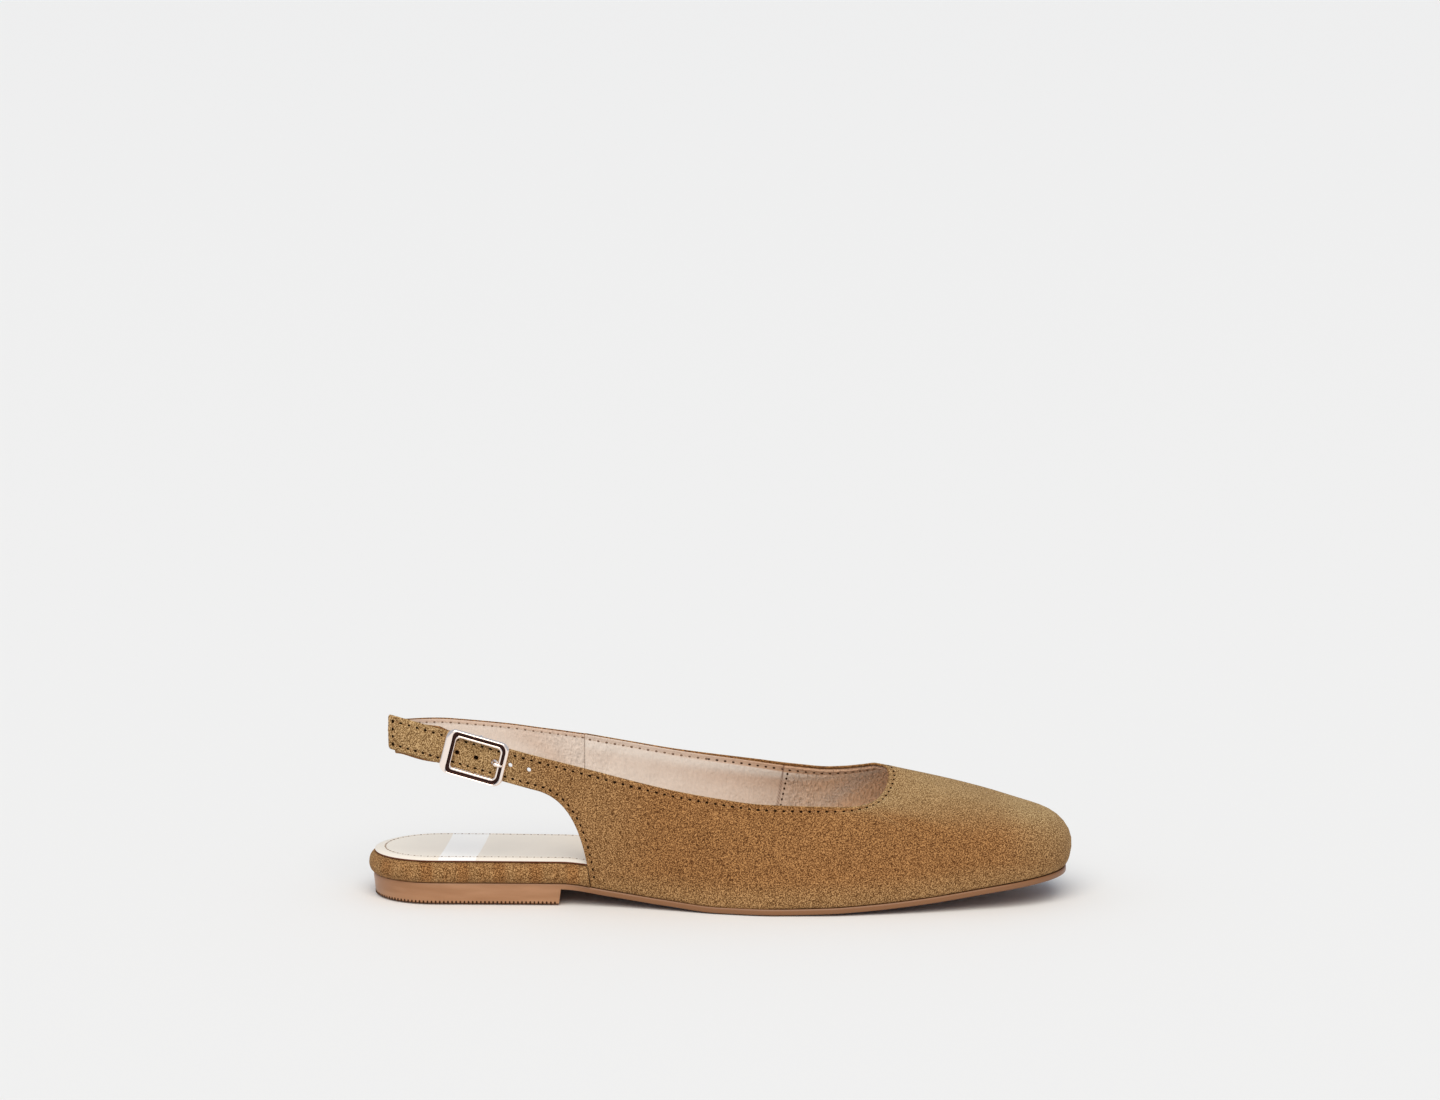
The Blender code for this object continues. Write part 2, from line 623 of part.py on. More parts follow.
def build_heel_strap(home, look, cutters):
    """Sling strap: round the heel, then folded back round the buckle's bar."""
    middle = []
    for run, x, y in heel_strap_path():
        top = float(curve_through(column(HEEL_STRAP, "run"), column(HEEL_STRAP, "top"), run))
        bottom = float(curve_through(column(HEEL_STRAP, "run"), column(HEEL_STRAP, "bottom"), run))
        across = Vector((0.0, 0.0, 1.0)).lerp(STRAP_UP, float(smooth_step(1.9, 2.5, run)))
        middle.append((Vector((x, y, (top + bottom) / 2)), (top - bottom) / 2, across))
    half = FOLD_HEIGHT / 2
    fold = [(FOLD_RADIUS * sin(angle), PIN_OUT + FOLD_RADIUS * cos(angle))
            for angle in np.linspace(0.0, pi, 9)[1:]]
    pinch = 2 * FOLD_RADIUS - STRAP_THICK - GAP
    fold += [(-FOLD_LENGTH * u, PIN_OUT - FOLD_RADIUS + pinch * float(smooth_step(0.1, 0.8, u)))
             for u in np.linspace(0.0, 1.0, 6)[1:]]
    for along, out in fold:
        middle.append((on_strap(along, 0.0, out), half, STRAP_UP))
    plan = np.array([(centre.x, centre.y) for centre, _, _ in middle])
    tangent = np.gradient(plan, axis=0)
    tangent = tangent / np.linalg.norm(tangent, axis=1)[:, None]
    loops = []
    for (centre, half, across), (tx, ty) in zip(middle, tangent):
        normal = Vector((ty, -tx, 0.0)) * STRAP_THICK / 2
        edge = across * half
        loops.append([centre + normal - edge, centre + normal + edge,
                      centre - normal + edge, centre - normal - edge])
    made = loft("heel_strap", loops, home, look)
    for cutter in cutters:
        cut = made.modifiers.new(cutter.name, "BOOLEAN")
        cut.operation = "DIFFERENCE"
        cut.object = cutter
    return made


def rounded_rectangle(length, height, corner, arc=5):
    """Outline points of a rectangle with round corners, centred on 0."""
    points = []
    for quarter, (sx, sy) in enumerate(((1, 1), (-1, 1), (-1, -1), (1, -1))):
        for step in range(arc + 1):
            angle = pi / 2 * (quarter + step / arc)
            points.append((sx * (length / 2 - corner) + corner * cos(angle),
                           sy * (height / 2 - corner) + corner * sin(angle)))
    return points


def build_buckle_frame(home, look, cutter_home):
    """Rounded frame with a centre bar that dips behind the strap, and a rest for the prong."""
    bevel = FRAME_BEVEL
    outer_z = GAP + FRAME_DEPTH
    inner_corner = FRAME_CORNER - RAIL_WIDTH + bevel
    window = (FRAME_LENGTH - 2 * BAR_WIDTH, FRAME_HEIGHT - 2 * RAIL_WIDTH, inner_corner)
    block = (FRAME_LENGTH, FRAME_HEIGHT, FRAME_CORNER)

    def ring(size, shrink, out):
        length, height, corner = size
        flat = rounded_rectangle(length - 2 * shrink, height - 2 * shrink, max(corner - shrink, 0.3))
        return [tuple(on_strap(a, b, out)) for a, b in flat]

    rings = [ring(block, bevel, GAP), ring(block, 0.0, GAP + bevel), ring(block, 0.0, outer_z - bevel),
             ring(block, bevel, outer_z), ring(window, -bevel, outer_z), ring(window, 0.0, outer_z - bevel),
             ring(window, 0.0, GAP + bevel), ring(window, -bevel, GAP)]
    count = len(rings[0])
    points = [p for r in rings for p in r]
    faces = []
    for i in range(len(rings)):
        k = (i + 1) % len(rings)
        for j in range(count):
            m = (j + 1) % count
            faces.append((i * count + j, i * count + m, k * count + m, k * count + j))
    made = mesh_object("buckle_frame", points, faces, home, look)
    post = ((POST_UP, GAP + FRAME_DEPTH / 2), (POST_UP, -WALL - 2 * GAP),
            ((POST_UP + PIN_HALF) / 2, PIN_OUT + PIN_RADIUS), (PIN_HALF, PIN_OUT))
    route = [on_strap(0.0, up, out) for up, out in post]
    route += [on_strap(0.0, -up, out) for up, out in post[::-1]]
    bar = tube("centre_bar", route, PIN_RADIUS, cutter_home)
    bar.hide_render = True
    bar.display_type = "WIRE"
    join = made.modifiers.new("centre_bar", "BOOLEAN")
    join.operation = "UNION"
    join.object = bar
    rest = box_cutter("prong_rest", (2 * BAR_WIDTH, 2 * (PRONG_RADIUS + GAP), 2 * PRONG_REST_DEPTH),
                      (FRAME_LENGTH / 2 - BAR_WIDTH / 2, 0.0, outer_z), cutter_home)
    cut = made.modifiers.new("prong_rest", "BOOLEAN")
    cut.operation = "DIFFERENCE"
    cut.object = rest
    return made


def tube(name, route, radius, home, look=None):
    """Closed mesh tube of round section along a route of points in millimetres."""
    data = bpy.data.curves.new(name, "CURVE")
    data.dimensions = "3D"
    data.bevel_depth = radius * MM
    data.bevel_resolution = 2
    data.use_fill_caps = True
    spline = data.splines.new("POLY")
    spline.points.add(len(route) - 1)
    for point, place in zip(spline.points, route):
        point.co = (*(Vector(place) * MM), 1.0)
    wire = bpy.data.objects.new(name + "_wire", data)
    home.objects.link(wire)
    bpy.context.view_layer.update()
    mesh = bpy.data.meshes.new_from_object(wire.evaluated_get(bpy.context.evaluated_depsgraph_get()))
    bm = bmesh.new()
    bm.from_mesh(mesh)
    bmesh.ops.remove_doubles(bm, verts=bm.verts, dist=0.00001)
    bmesh.ops.recalc_face_normals(bm, faces=bm.faces)
    bm.to_mesh(mesh)
    bm.free()
    mesh.materials.clear()
    mesh.shade_smooth()
    if look:
        mesh.materials.append(look)
    made = bpy.data.objects.new(name, mesh)
    made.matrix_world = wire.matrix_world
    home.objects.link(made)
    bpy.data.objects.remove(wire)
    bpy.data.curves.remove(data)
    return made


def build_prong(home, look):
    """Buckle tongue: hooked on the bar, up through the third hole, resting on the frame's bar."""
    hook = PIN_RADIUS + GAP + PRONG_RADIUS
    rest_out = GAP + FRAME_DEPTH - PRONG_REST_DEPTH + GAP + PRONG_RADIUS
    route = []
    for angle in np.linspace(radians(330), radians(90), 13):
        route.append(on_strap(hook * cos(angle), 0.0, PIN_OUT + hook * sin(angle)))
    run_out = PIN_OUT + hook
    for along, out in ((PRONG_HOLE - 1.0, run_out), (PRONG_HOLE - 0.3, run_out + 0.4),
                       (PRONG_HOLE, run_out + 1.1), (PRONG_HOLE + 0.1, rest_out - 0.9),
                       (PRONG_HOLE + 0.5, rest_out - 0.2), (PRONG_HOLE + 1.2, rest_out),
                       (FRAME_LENGTH / 2 - 0.4, rest_out)):
        route.append(on_strap(along, 0.0, out))
    return tube("buckle_prong", route, PRONG_RADIUS, home, look)


def main():
    """Build the shoe."""
    for old in list(bpy.data.objects):
        bpy.data.objects.remove(old)
    shoe = collection("slingback_shoe")
    tools = collection("cutters")
    suede = material("tan_suede", (0.287, 0.165, 0.064), 0.95)
    rand_suede = material("tan_suede_rand", (0.287, 0.165, 0.064), 0.95)
    strap_suede = material("tan_suede_strap", (0.287, 0.165, 0.064), 0.95)
    sole_rubber = material("caramel_rubber", (0.40, 0.18, 0.075), 0.5)
    leather = material("beige_leather", (0.72, 0.52, 0.40), 0.6)
    gold = material("rose_gold", (0.86, 0.63, 0.47), 0.22, 1.0)
    prong_gold = material("rose_gold_prong", (0.86, 0.63, 0.47), 0.22, 1.0)

    build_outsole(shoe, sole_rubber)
    build_footbed(shoe, rand_suede)
    build_insole(shoe, leather)
    punches = []
    for i in range(HOLE_COUNT):
        along = FIRST_HOLE + i * HOLE_PITCH
        radius = PRONG_HOLE_RADIUS if along == PRONG_HOLE else HOLE_RADIUS
        punches.append(cylinder_cutter(f"strap_hole_{i + 1}", along, radius, tools))
    build_upper(shoe, suede, punches)
    slot = box_cutter("prong_slot", PRONG_SLOT, (PRONG_SLOT_ALONG, 0.0, PIN_OUT), tools)
    build_heel_strap(shoe, strap_suede, [slot])
    build_buckle_frame(shoe, gold, tools)
    build_prong(shoe, prong_gold)


main()
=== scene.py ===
"""Looks of a flat suede slingback shoe for the right foot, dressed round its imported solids.

The suede, lining, sock, rand and sole follow the shoe's own last: the short tables of sections that
shape the solids shape the finished pieces here, at a finer step. Sizes are in millimetres and are
turned to metres where a mesh is made. The toe points along +X and the outer side faces -Y.
"""

import logging
from collections.abc import Callable, Iterator, Sequence
from contextlib import contextmanager
from dataclasses import dataclass
from enum import Enum
from functools import cache, cached_property, partial
from math import cos, pi, radians, sin
from typing import Any, NamedTuple

import bmesh
import bpy
import numpy as np
from mathutils import Matrix, Vector

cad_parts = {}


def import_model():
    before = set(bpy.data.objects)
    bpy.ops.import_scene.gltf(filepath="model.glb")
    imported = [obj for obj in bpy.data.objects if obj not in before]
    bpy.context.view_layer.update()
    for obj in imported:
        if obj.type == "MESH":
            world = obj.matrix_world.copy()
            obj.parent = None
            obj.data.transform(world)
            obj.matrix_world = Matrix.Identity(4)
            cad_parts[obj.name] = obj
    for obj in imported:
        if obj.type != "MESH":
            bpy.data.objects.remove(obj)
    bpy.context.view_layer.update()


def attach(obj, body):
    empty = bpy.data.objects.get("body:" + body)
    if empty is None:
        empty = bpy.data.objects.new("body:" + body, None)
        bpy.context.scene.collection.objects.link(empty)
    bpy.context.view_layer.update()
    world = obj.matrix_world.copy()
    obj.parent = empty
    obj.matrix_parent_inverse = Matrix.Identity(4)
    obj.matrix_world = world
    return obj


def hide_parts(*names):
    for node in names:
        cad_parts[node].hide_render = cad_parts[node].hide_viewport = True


MM = 0.001
WELD = 0.002
BODY = "root"
UP = np.array((0.0, 0.0, 1.0))

log = logging.getLogger("slingback_shoe")
Array = np.ndarray
Pair = tuple[float, float]
Triple = tuple[float, float, float]
Node = bpy.types.Node
Piece = bpy.types.Object
Material = bpy.types.Material


class Slot(Enum):
    """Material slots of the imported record."""

    SOLE = "sole_rubber"
    RAND = "rand_suede"
    LINING = "lining_leather"
    SUEDE = "suede"
    STRAP = "strap_suede"
    FRAME = "buckle_metal"
    PRONG = "prong_metal"


class Side(Enum):
    """Sides of the foot, with the sign of their Y."""

    LATERAL = -1
    MEDIAL = 1


def curve_through(keys: Sequence[float], values: Sequence[float], at: Any) -> Array:
    """Monotone cubic curve through one column of a short table.

    Args:
        keys: rising stations of the table.
        values: the column's value at each station.
        at: stations to read the curve at.

    Returns:
        The curve's values there.
    """
    keys = np.asarray(keys, float)
    values = np.asarray(values, float)
    at = np.asarray(at, float)
    steps = np.diff(keys)
    slopes = np.diff(values) / steps
    product = slopes[:-1] * slopes[1:]
    total = np.where(product > 0, slopes[:-1] + slopes[1:], 1.0)
    inner = np.where(product > 0, 2.0 * product / total, 0.0)
    tangents = np.concatenate((slopes[:1], inner, slopes[-1:]))
    i = np.clip(np.searchsorted(keys, at) - 1, 0, len(steps) - 1)
    u = (at - keys[i]) / steps[i]
    rise = values[i + 1] - values[i]
    lead = steps[i] * tangents[i]
    trail = steps[i] * tangents[i + 1]
    return values[i] + u * (lead + u * (3 * rise - 2 * lead - trail + u * (lead + trail - 2 * rise)))


def read_table(rows: Sequence[Any], name: str, at: Any) -> Array:
    """A column of a table, along a curve by the table's first column."""
    return curve_through([row[0] for row in rows], [getattr(row, name) for row in rows], at)


def spaced(ends: Sequence[float], counts: Sequence[int]) -> Array:
    """Starts of even steps through stretches that follow each other, and the last end."""
    starts = [np.linspace(*stretch, endpoint=False) for stretch in zip(ends, ends[1:], counts)]
    return np.concatenate((*starts, ends[-1:]))


def smooth_step(low: float, high: float, at: Any) -> Array:
    """Ease from 0 at low to 1 at high, which may lie below low."""
    u = np.clip((np.asarray(at, float) - low) / (high - low), 0.0, 1.0)
    return u * u * (3.0 - 2.0 * u)


def hump(offset: Any, width: float) -> Array:
    """Soft round ridge of height 1 at offset 0 with the given half width."""
    return np.exp(-((np.asarray(offset, float) / width) ** 2))


def unit(vectors: Array) -> Array:
    """Vectors of an array's last axis at length 1."""
    return vectors / np.maximum(np.linalg.norm(vectors, axis=-1, keepdims=True), 1e-12)


def run_along(points: Array) -> Array:
    """Distance of each point from the first, along a line or along the rows of a grid."""
    steps = np.linalg.norm(np.diff(points, axis=0), axis=-1)
    return np.concatenate((np.zeros_like(steps[:1]), np.cumsum(steps, axis=0)))


def read_line(at: Any, run: Array, vectors: Array) -> Array:
    """Vectors at some distances along a line whose points have their run and a vector each."""
    return np.stack([np.interp(at, run, column) for column in vectors.T], axis=-1)


def cubic(start: Array, lead: Array, trail: Array, end: Array, u: Any) -> Array:
    """Points of a cubic curve between two ends, each with its lead."""
    return (1 - u) ** 3 * start + 3 * u * (1 - u) ** 2 * lead + 3 * u * u * (1 - u) * trail + u ** 3 * end


def linear(hex_colour: str) -> tuple[float, ...]:
    """Linear red, green, blue and a full alpha of an sRGB hex value."""
    parts = [int(hex_colour[place:place + 2], 16) / 255.0 for place in (1, 3, 5)]
    return (*(part / 12.92 if part <= 0.04045 else ((part + 0.055) / 1.055) ** 2.4 for part in parts), 1.0)


def set_inputs(node: Node, inputs: dict[str | int, Any]) -> None:
    """Sets or links a node's inputs.

    Args:
        node: the node.
        inputs: value, output or node for each input, by its name or place; a node gives its first output.
    """
    for key, value in inputs.items():
        wanted = node.inputs[key] if isinstance(key, int) else next(
            socket for socket in node.inputs if socket.enabled and socket.name == key)
        if isinstance(value, Node):
            value = next(socket for socket in value.outputs if socket.enabled)
        if isinstance(value, bpy.types.NodeSocket):
            node.id_data.links.new(value, wanted)
        else:
            wanted.default_value = value


def add_node(tree: bpy.types.NodeTree, kind: str, inputs: dict[str | int, Any] | None = None,
             **settings: Any) -> Node:
    """Adds a node with its settings and links.

    Args:
        tree: node tree that gets the node.
        kind: Blender's name of the node type.
        inputs: what its inputs get, as in set_inputs.
        settings: properties of the node itself.

    Returns:
        The new node.
    """
    node = tree.nodes.new(kind)
    for name, value in settings.items():
        setattr(node, name, value)
    set_inputs(node, inputs or {})
    return node


class Shading(NamedTuple):
    """A material in the making: how a node is added, its shader and the object coordinates in metres."""

    material: Material
    add: Callable[..., Node]
    shader: Node
    place: bpy.types.NodeSocket


@dataclass(frozen=True)
class Finish:
    """A surface with one colour, the base of every finish."""

    name: str
    colour: str
    roughness: float

    def start(self) -> Shading:
        """Starts the material.

        Returns:
            The material in the making, with its own colour and roughness set.
        """
        material = bpy.data.materials.new(self.name)
        material.use_nodes = True
        material.diffuse_color = linear(self.colour)
        shader = material.node_tree.nodes["Principled BSDF"]
        set_inputs(shader, {"Base Color": linear(self.colour), "Roughness": self.roughness})
        add = partial(add_node, material.node_tree)
        return Shading(material, add, shader, add("ShaderNodeTexCoord").outputs["Object"])

    def material(self) -> Material:
        """Builds the finish's material."""
        return self.start().material


@cache
def material_of(finish: Finish) -> Material:
    """A finish's material, made once."""
    return finish.material()


class Nap(NamedTuple):
    """Tones of a suede's fibres: between the tufts, their middle and their tips."""

    shade: str
    middle: str
    tip: str


@dataclass(frozen=True)
class Suede(Finish):
    """Buffed split leather: matt, with short fibres in tufts, and paler, greener tones as a painted sheen on
    upward faces and marked stretches.
    """

    lying: Nap
    raised: Nap
    fibre_mm: float = 0.4
    tuft_mm: float = 1.1
    cloud_mm: float = 24.0
    fibre_low: float = 0.402
    fibre_high: float = 0.708
    raised_share: float = 0.95
    lift_power: float = 6.0

    @staticmethod
    def tones(add: Callable[..., Node], height: Node, nap: Nap) -> Node:
        """Colour of a nap by the height of its fibres.

        Args:
            add: how a node is added to the material.
            height: node of the fibre height from 0 to 1.
            nap: the nap's tones.

        Returns:
            The node of the colour.
        """
        ramp = add("ShaderNodeValToRGB", {"Fac": height})
        stops = ramp.color_ramp.elements
        stops[0].position, stops[0].color = 0.08, linear(nap.shade)
        stops[1].position, stops[1].color = 0.92, linear(nap.tip)
        stops.new(0.5).color = linear(nap.middle)
        return ramp

    def material(self) -> Material:
        """Builds the suede.

        Returns:
            Speckled tones, paler tones as a painted sheen on upward faces and marked stretches, sheen and a
            fibrous bump.
        """
        made, add, shader, place = self.start()
        height: Any = 0.0
        # Fibres are drawn about twice their real breadth so that they show at arm's length
        for size, weight in ((self.fibre_mm, 1.0), (self.tuft_mm, 0.06), (self.cloud_mm, 0.05)):
            noise = add("ShaderNodeTexNoise", {
                "Vector": place, "Scale": 1.0 / (size * MM), "Detail": 1.5, "Roughness": 0.6})
            height = add("ShaderNodeMath", {0: noise, 1: weight, 2: height}, operation="MULTIPLY_ADD")
        fibres = add("ShaderNodeMapRange", {
            "Value": height, "From Min": self.fibre_low, "From Max": self.fibre_high})
        # Painted sheen: upward faces, raised to a power, and the mesh's marked stretches take the paler,
        # greener nap tones
        facing = add("ShaderNodeSeparateXYZ", {0: add("ShaderNodeNewGeometry").outputs["Normal"]})
        upward = add("ShaderNodeMath", {0: facing.outputs["Z"], 1: 0.0}, operation="MAXIMUM")
        lift = add("ShaderNodeMath", {0: upward, 1: self.lift_power}, operation="POWER")
        brushed = add("ShaderNodeAttribute", attribute_name="brushed").outputs["Fac"]
        raised = add("ShaderNodeMath", {0: lift, 1: self.raised_share, 2: brushed},
                     operation="MULTIPLY_ADD", use_clamp=True)
        lying, sheen_tones = (self.tones(add, fibres, nap) for nap in (self.lying, self.raised))
        colour = add("ShaderNodeMix", {"Factor": raised, "A": lying, "B": sheen_tones}, data_type="RGBA")
        bump = add("ShaderNodeBump", {"Height": fibres, "Strength": 0.5, "Distance": 0.16 * MM})
        set_inputs(shader, {
            "Base Color": colour, "Normal": bump, "Specular IOR Level": 0.1, "Sheen Weight": 0.3,
            "Sheen Roughness": 0.4, "Sheen Tint": linear(self.raised.tip)})
        return made


@dataclass(frozen=True)
class LiningLeather(Finish):
    """Thin glazed goatskin: satin, faintly pebbled, with fine wrinkles where it is drawn tight."""

    deep: str
    toe: str
    seam: str
    pebble_mm: float = 1.1
    wrinkle_mm: float = 1.0

    def material(self) -> Material:
        """Builds the lining.

        Returns:
            Leather whose mesh attributes mark its turned edge tone and painted shade, painted light towards
            the toe, seam edges and wrinkled stretches.
        """
        made, add, shader, place = self.start()
        # The first attribute carries the turned edge's tone and painted shade, the second painted light
        # towards the toe
        deep_tone, toe_tone, seam_edge, drawn = (
            add("ShaderNodeAttribute", attribute_name=name).outputs["Fac"]
            for name in ("deep_tone", "toe_tone", "seam_edge", "drawn"))
        pebble = add("ShaderNodeTexVoronoi", {
            "Vector": place, "Scale": 1.0 / (self.pebble_mm * MM)}, feature="SMOOTH_F1")
        stretched = add("ShaderNodeMapping", {
            "Vector": place, "Rotation": (0.0, radians(24.0), 0.0), "Scale": (1.0, 0.5, 0.28)})
        wrinkle = add("ShaderNodeTexNoise", {
            "Vector": stretched, "Scale": 1.0 / (self.wrinkle_mm * MM), "Detail": 3.0})
        grain = add("ShaderNodeMath", {0: pebble, 1: 0.4, 2: wrinkle}, operation="MULTIPLY_ADD")
        level = add("ShaderNodeMath", {0: grain, 1: 0.66}, operation="SUBTRACT")
        relief = add("ShaderNodeMath", {0: level, 1: drawn}, operation="MULTIPLY")
        tone = add("ShaderNodeMath", {0: relief, 1: 0.55, 2: 1.0}, operation="MULTIPLY_ADD")
        colour: Any = linear(self.colour)
        for share, over, blend in (
                (deep_tone, linear(self.deep), "MIX"), (toe_tone, linear(self.toe), "MIX"),
                (1.0, tone, "MULTIPLY"), (seam_edge, linear(self.seam), "MIX")):
            colour = add("ShaderNodeMix", {"Factor": share, "A": colour, "B": over},
                         data_type="RGBA", blend_type=blend)
        bump = add("ShaderNodeBump", {"Height": relief, "Strength": 1.0, "Distance": 1.1 * MM})
        set_inputs(shader, {"Base Color": colour, "Normal": bump, "Specular IOR Level": 0.35})
        return made


@dataclass(frozen=True)
class SockLeather(Finish):
    """Smooth pigmented sheepskin with a plain pale band painted across the heel."""

    band: str
    band_back: float = -101.5
    band_front: float = -87.8
    band_lean: float = 0.06
    band_blur: float = 0.1
    cloud_mm: float = 25.0
    pore_mm: float = 0.8
    worn_from: float = -92.0
    worn_to: float = -58.0
    worn_tone: float = 0.95

    def material(self) -> Material:
        """Builds the sock leather.

        Returns:
            Leather with faint pores and clouds, painted shade growing towards the arch, and the blank band
            across the seat.
        """
        made, add, shader, place = self.start()
        x, y, _ = add("ShaderNodeSeparateXYZ", {0: place}).outputs
        cloud = add("ShaderNodeTexNoise", {"Vector": place, "Scale": 1.0 / (self.cloud_mm * MM)})
        tone = add("ShaderNodeMapRange", {
            "Value": cloud, "From Min": 0.3, "From Max": 0.7, "To Min": 0.97, "To Max": 1.03})
        # Painted shade: the sock darkens from the heel seat towards the arch
        painted_sock_shade = add("ShaderNodeMapRange", {
            "Value": x, "From Min": self.worn_from * MM, "From Max": self.worn_to * MM,
            "To Min": 1.0, "To Max": self.worn_tone}, interpolation_type="SMOOTHSTEP")
        across = add("ShaderNodeMath", {0: y, 1: -self.band_lean, 2: x}, operation="MULTIPLY_ADD")
        middle = (self.band_back + self.band_front) / 2.0 * MM
        half = (self.band_front - self.band_back) / 2.0
        offset = add("ShaderNodeMath", {0: across, 1: middle}, operation="SUBTRACT")
        apart = add("ShaderNodeMath", {0: offset}, operation="ABSOLUTE")
        inside = add("ShaderNodeMapRange", {
            "Value": apart, "From Min": (half + self.band_blur) * MM,
            "From Max": (half - self.band_blur) * MM})
        colour: Any = linear(self.colour)
        for share, over, blend in ((1.0, tone, "MULTIPLY"), (1.0, painted_sock_shade, "MULTIPLY"),
                                   (inside, linear(self.band), "MIX")):
            colour = add("ShaderNodeMix", {"Factor": share, "A": colour, "B": over},
                         data_type="RGBA", blend_type=blend)
        pores = add("ShaderNodeTexVoronoi", {"Vector": place, "Scale": 1.0 / (self.pore_mm * MM)})
        bump = add("ShaderNodeBump", {"Height": pores, "Strength": 0.12, "Distance": 0.15 * MM})
        set_inputs(shader, {"Base Color": colour, "Normal": bump, "Specular IOR Level": 0.3})
        return made


@dataclass(frozen=True)
class SoleRubber(Finish):
    """Moulded thermoplastic rubber: satin, slightly cloudy, with a fine sandblasted skin."""

    pale: str
    shank: str
    cloud_mm: float = 30.0
    grit_mm: float = 0.5
    heel_front: float = -64.0
    shank_back: float = -44.0

    def material(self) -> Material:
        """Builds the rubber.

        Returns:
            Rubber with soft clouds of the paler tone, painted shade on the edge ahead of the heel and a fine
            grit.
        """
        made, add, shader, place = self.start()
        flat = add("ShaderNodeMapping", {"Vector": place, "Scale": (1.0, 1.0, 6.0)})
        cloud = add("ShaderNodeTexNoise", {
            "Vector": flat, "Scale": 1.0 / (self.cloud_mm * MM), "Detail": 4.0})
        clouded = add("ShaderNodeMapRange", {
            "Value": cloud, "From Min": 0.35, "From Max": 0.65, "To Max": 0.85})
        x, _, _ = add("ShaderNodeSeparateXYZ", {0: place}).outputs
        # Painted shade: the sole's edge darkens ahead of the heel
        ahead = add("ShaderNodeMapRange", {
            "Value": x, "From Min": self.heel_front * MM, "From Max": self.shank_back * MM},
            interpolation_type="SMOOTHSTEP")
        colour: Any = linear(self.colour)
        for share, over in ((clouded, linear(self.pale)), (ahead, linear(self.shank))):
            colour = add("ShaderNodeMix", {"Factor": share, "A": colour, "B": over}, data_type="RGBA")
        grit = add("ShaderNodeTexNoise", {
            "Vector": place, "Scale": 1.0 / (self.grit_mm * MM), "Detail": 2.0})
        bump = add("ShaderNodeBump", {"Height": grit, "Strength": 0.18, "Distance": 0.12 * MM})
        set_inputs(shader, {"Base Color": colour, "Normal": bump})
        return made


@dataclass(frozen=True)
class PlatedMetal(Finish):
    """Polished zinc alloy under a rose gold plating: mirror bright, with hairline polishing marks."""

    hairline_mm: float = 0.35
    uneven: float = 0.25

    def material(self) -> Material:
        """Builds the plating.

        Returns:
            Metal with a slightly uneven polish.
        """
        made, add, shader, place = self.start()
        drawn_out = add("ShaderNodeMapping", {"Vector": place, "Scale": (0.15, 1.0, 1.0)})
        marks = add("ShaderNodeTexNoise", {
            "Vector": drawn_out, "Scale": 1.0 / (self.hairline_mm * MM), "Detail": 2.0})
        polish = add("ShaderNodeMapRange", {
            "Value": marks, "To Min": self.roughness * (1.0 - self.uneven),
            "To Max": self.roughness * (1.0 + self.uneven)})
        set_inputs(shader, {"Metallic": 1.0, "Roughness": polish})
        return made


@dataclass(frozen=True)
class DarkHole(Finish):
    """A narrow dark place, such as the mouth of a needle hole: shade without any gloss."""

    def material(self) -> Material:
        """Builds the shade.

        Returns:
            A matt material.
        """
        made, _, shader, _ = self.start()
        set_inputs(shader, {"Specular IOR Level": 0.0})
        return made


@dataclass(frozen=True)
class SewingThread(Finish):
    """Twisted polyester thread: matt, with the slant of its plies."""

    ply_mm: float = 0.3

    def material(self) -> Material:
        """Builds the thread.

        Returns:
            Thread with its twist as bump.
        """
        made, add, shader, place = self.start()
        ply = add("ShaderNodeTexNoise", {
            "Vector": place, "Scale": 1.0 / (self.ply_mm * MM), "Detail": 1.0})
        bump = add("ShaderNodeBump", {"Height": ply, "Strength": 0.5, "Distance": 0.08 * MM})
        set_inputs(shader, {"Normal": bump})
        return made


# The second set of nap tones is the painted sheen's
TAN_SUEDE = Suede("tan_suede", "#8E643C", 0.95, Nap("#4B2C13", "#835933", "#B78755"),
                  Nap("#63482B", "#9B7C50", "#D3B588"))
# The lining's second colour serves its turned edge and painted shade, its third painted light towards the
# toe
LINING = LiningLeather("goatskin_lining", "#E2D6CC", 0.5, "#BC9272", "#E8C09E", "#5E3524")
SOCK = SockLeather("sheepskin_sock", "#EEE6DA", 0.5, "#F7F6F4")
SOCK_EDGE = DarkHole("stained_sock_edge", "#6E3F2B", 0.8)
# Painted shade in the gaps between the heel's ribs and along its contact line
RIB_GAP_SHADE = DarkHole("rib_gap", "#40291A", 0.9)
# The rubber's last colour is painted shade on the sole's edge ahead of the heel
RUBBER = SoleRubber("caramel_rubber", "#9C6D48", 0.4, "#B68763", "#845937")
ROSE_GOLD = PlatedMetal("rose_gold_plating", "#FFF0E6", 0.14)
# Painted dark reflection in the buckle frame's groove
GROOVE = PlatedMetal("tarnished_groove", "#3B2622", 0.3)
THREAD = SewingThread("tan_thread", "#8F663E", 0.85)
PALE_THREAD = SewingThread("beige_thread", "#B9A28D", 0.85)
NEEDLE_HOLE = DarkHole("needle_hole", "#1C1007", 1.0)
FAINT_HOLE = DarkHole("faint_needle_hole", "#7C6352", 1.0)
LINING_HOLE = DarkHole("lining_needle_hole", "#3E281B", 1.0)


class Station(NamedTuple):
    """One station of the sole: per cent of its length and of the ball width, then heights."""

    along: float
    lateral: float
    medial: float
    lift: float
    bed: float


class Section(NamedTuple):
    """One section of the upper, from its foot's turn to its top edge and the leads of its curve."""

    foot: float
    along: float
    side: float
    height: float
    flare: float
    rise: float
    reach: float
    drop: float


class Band(NamedTuple):
    """One station of the heel strap's run, with the heights of its two edges."""

    run: float
    top: float
    bottom: float


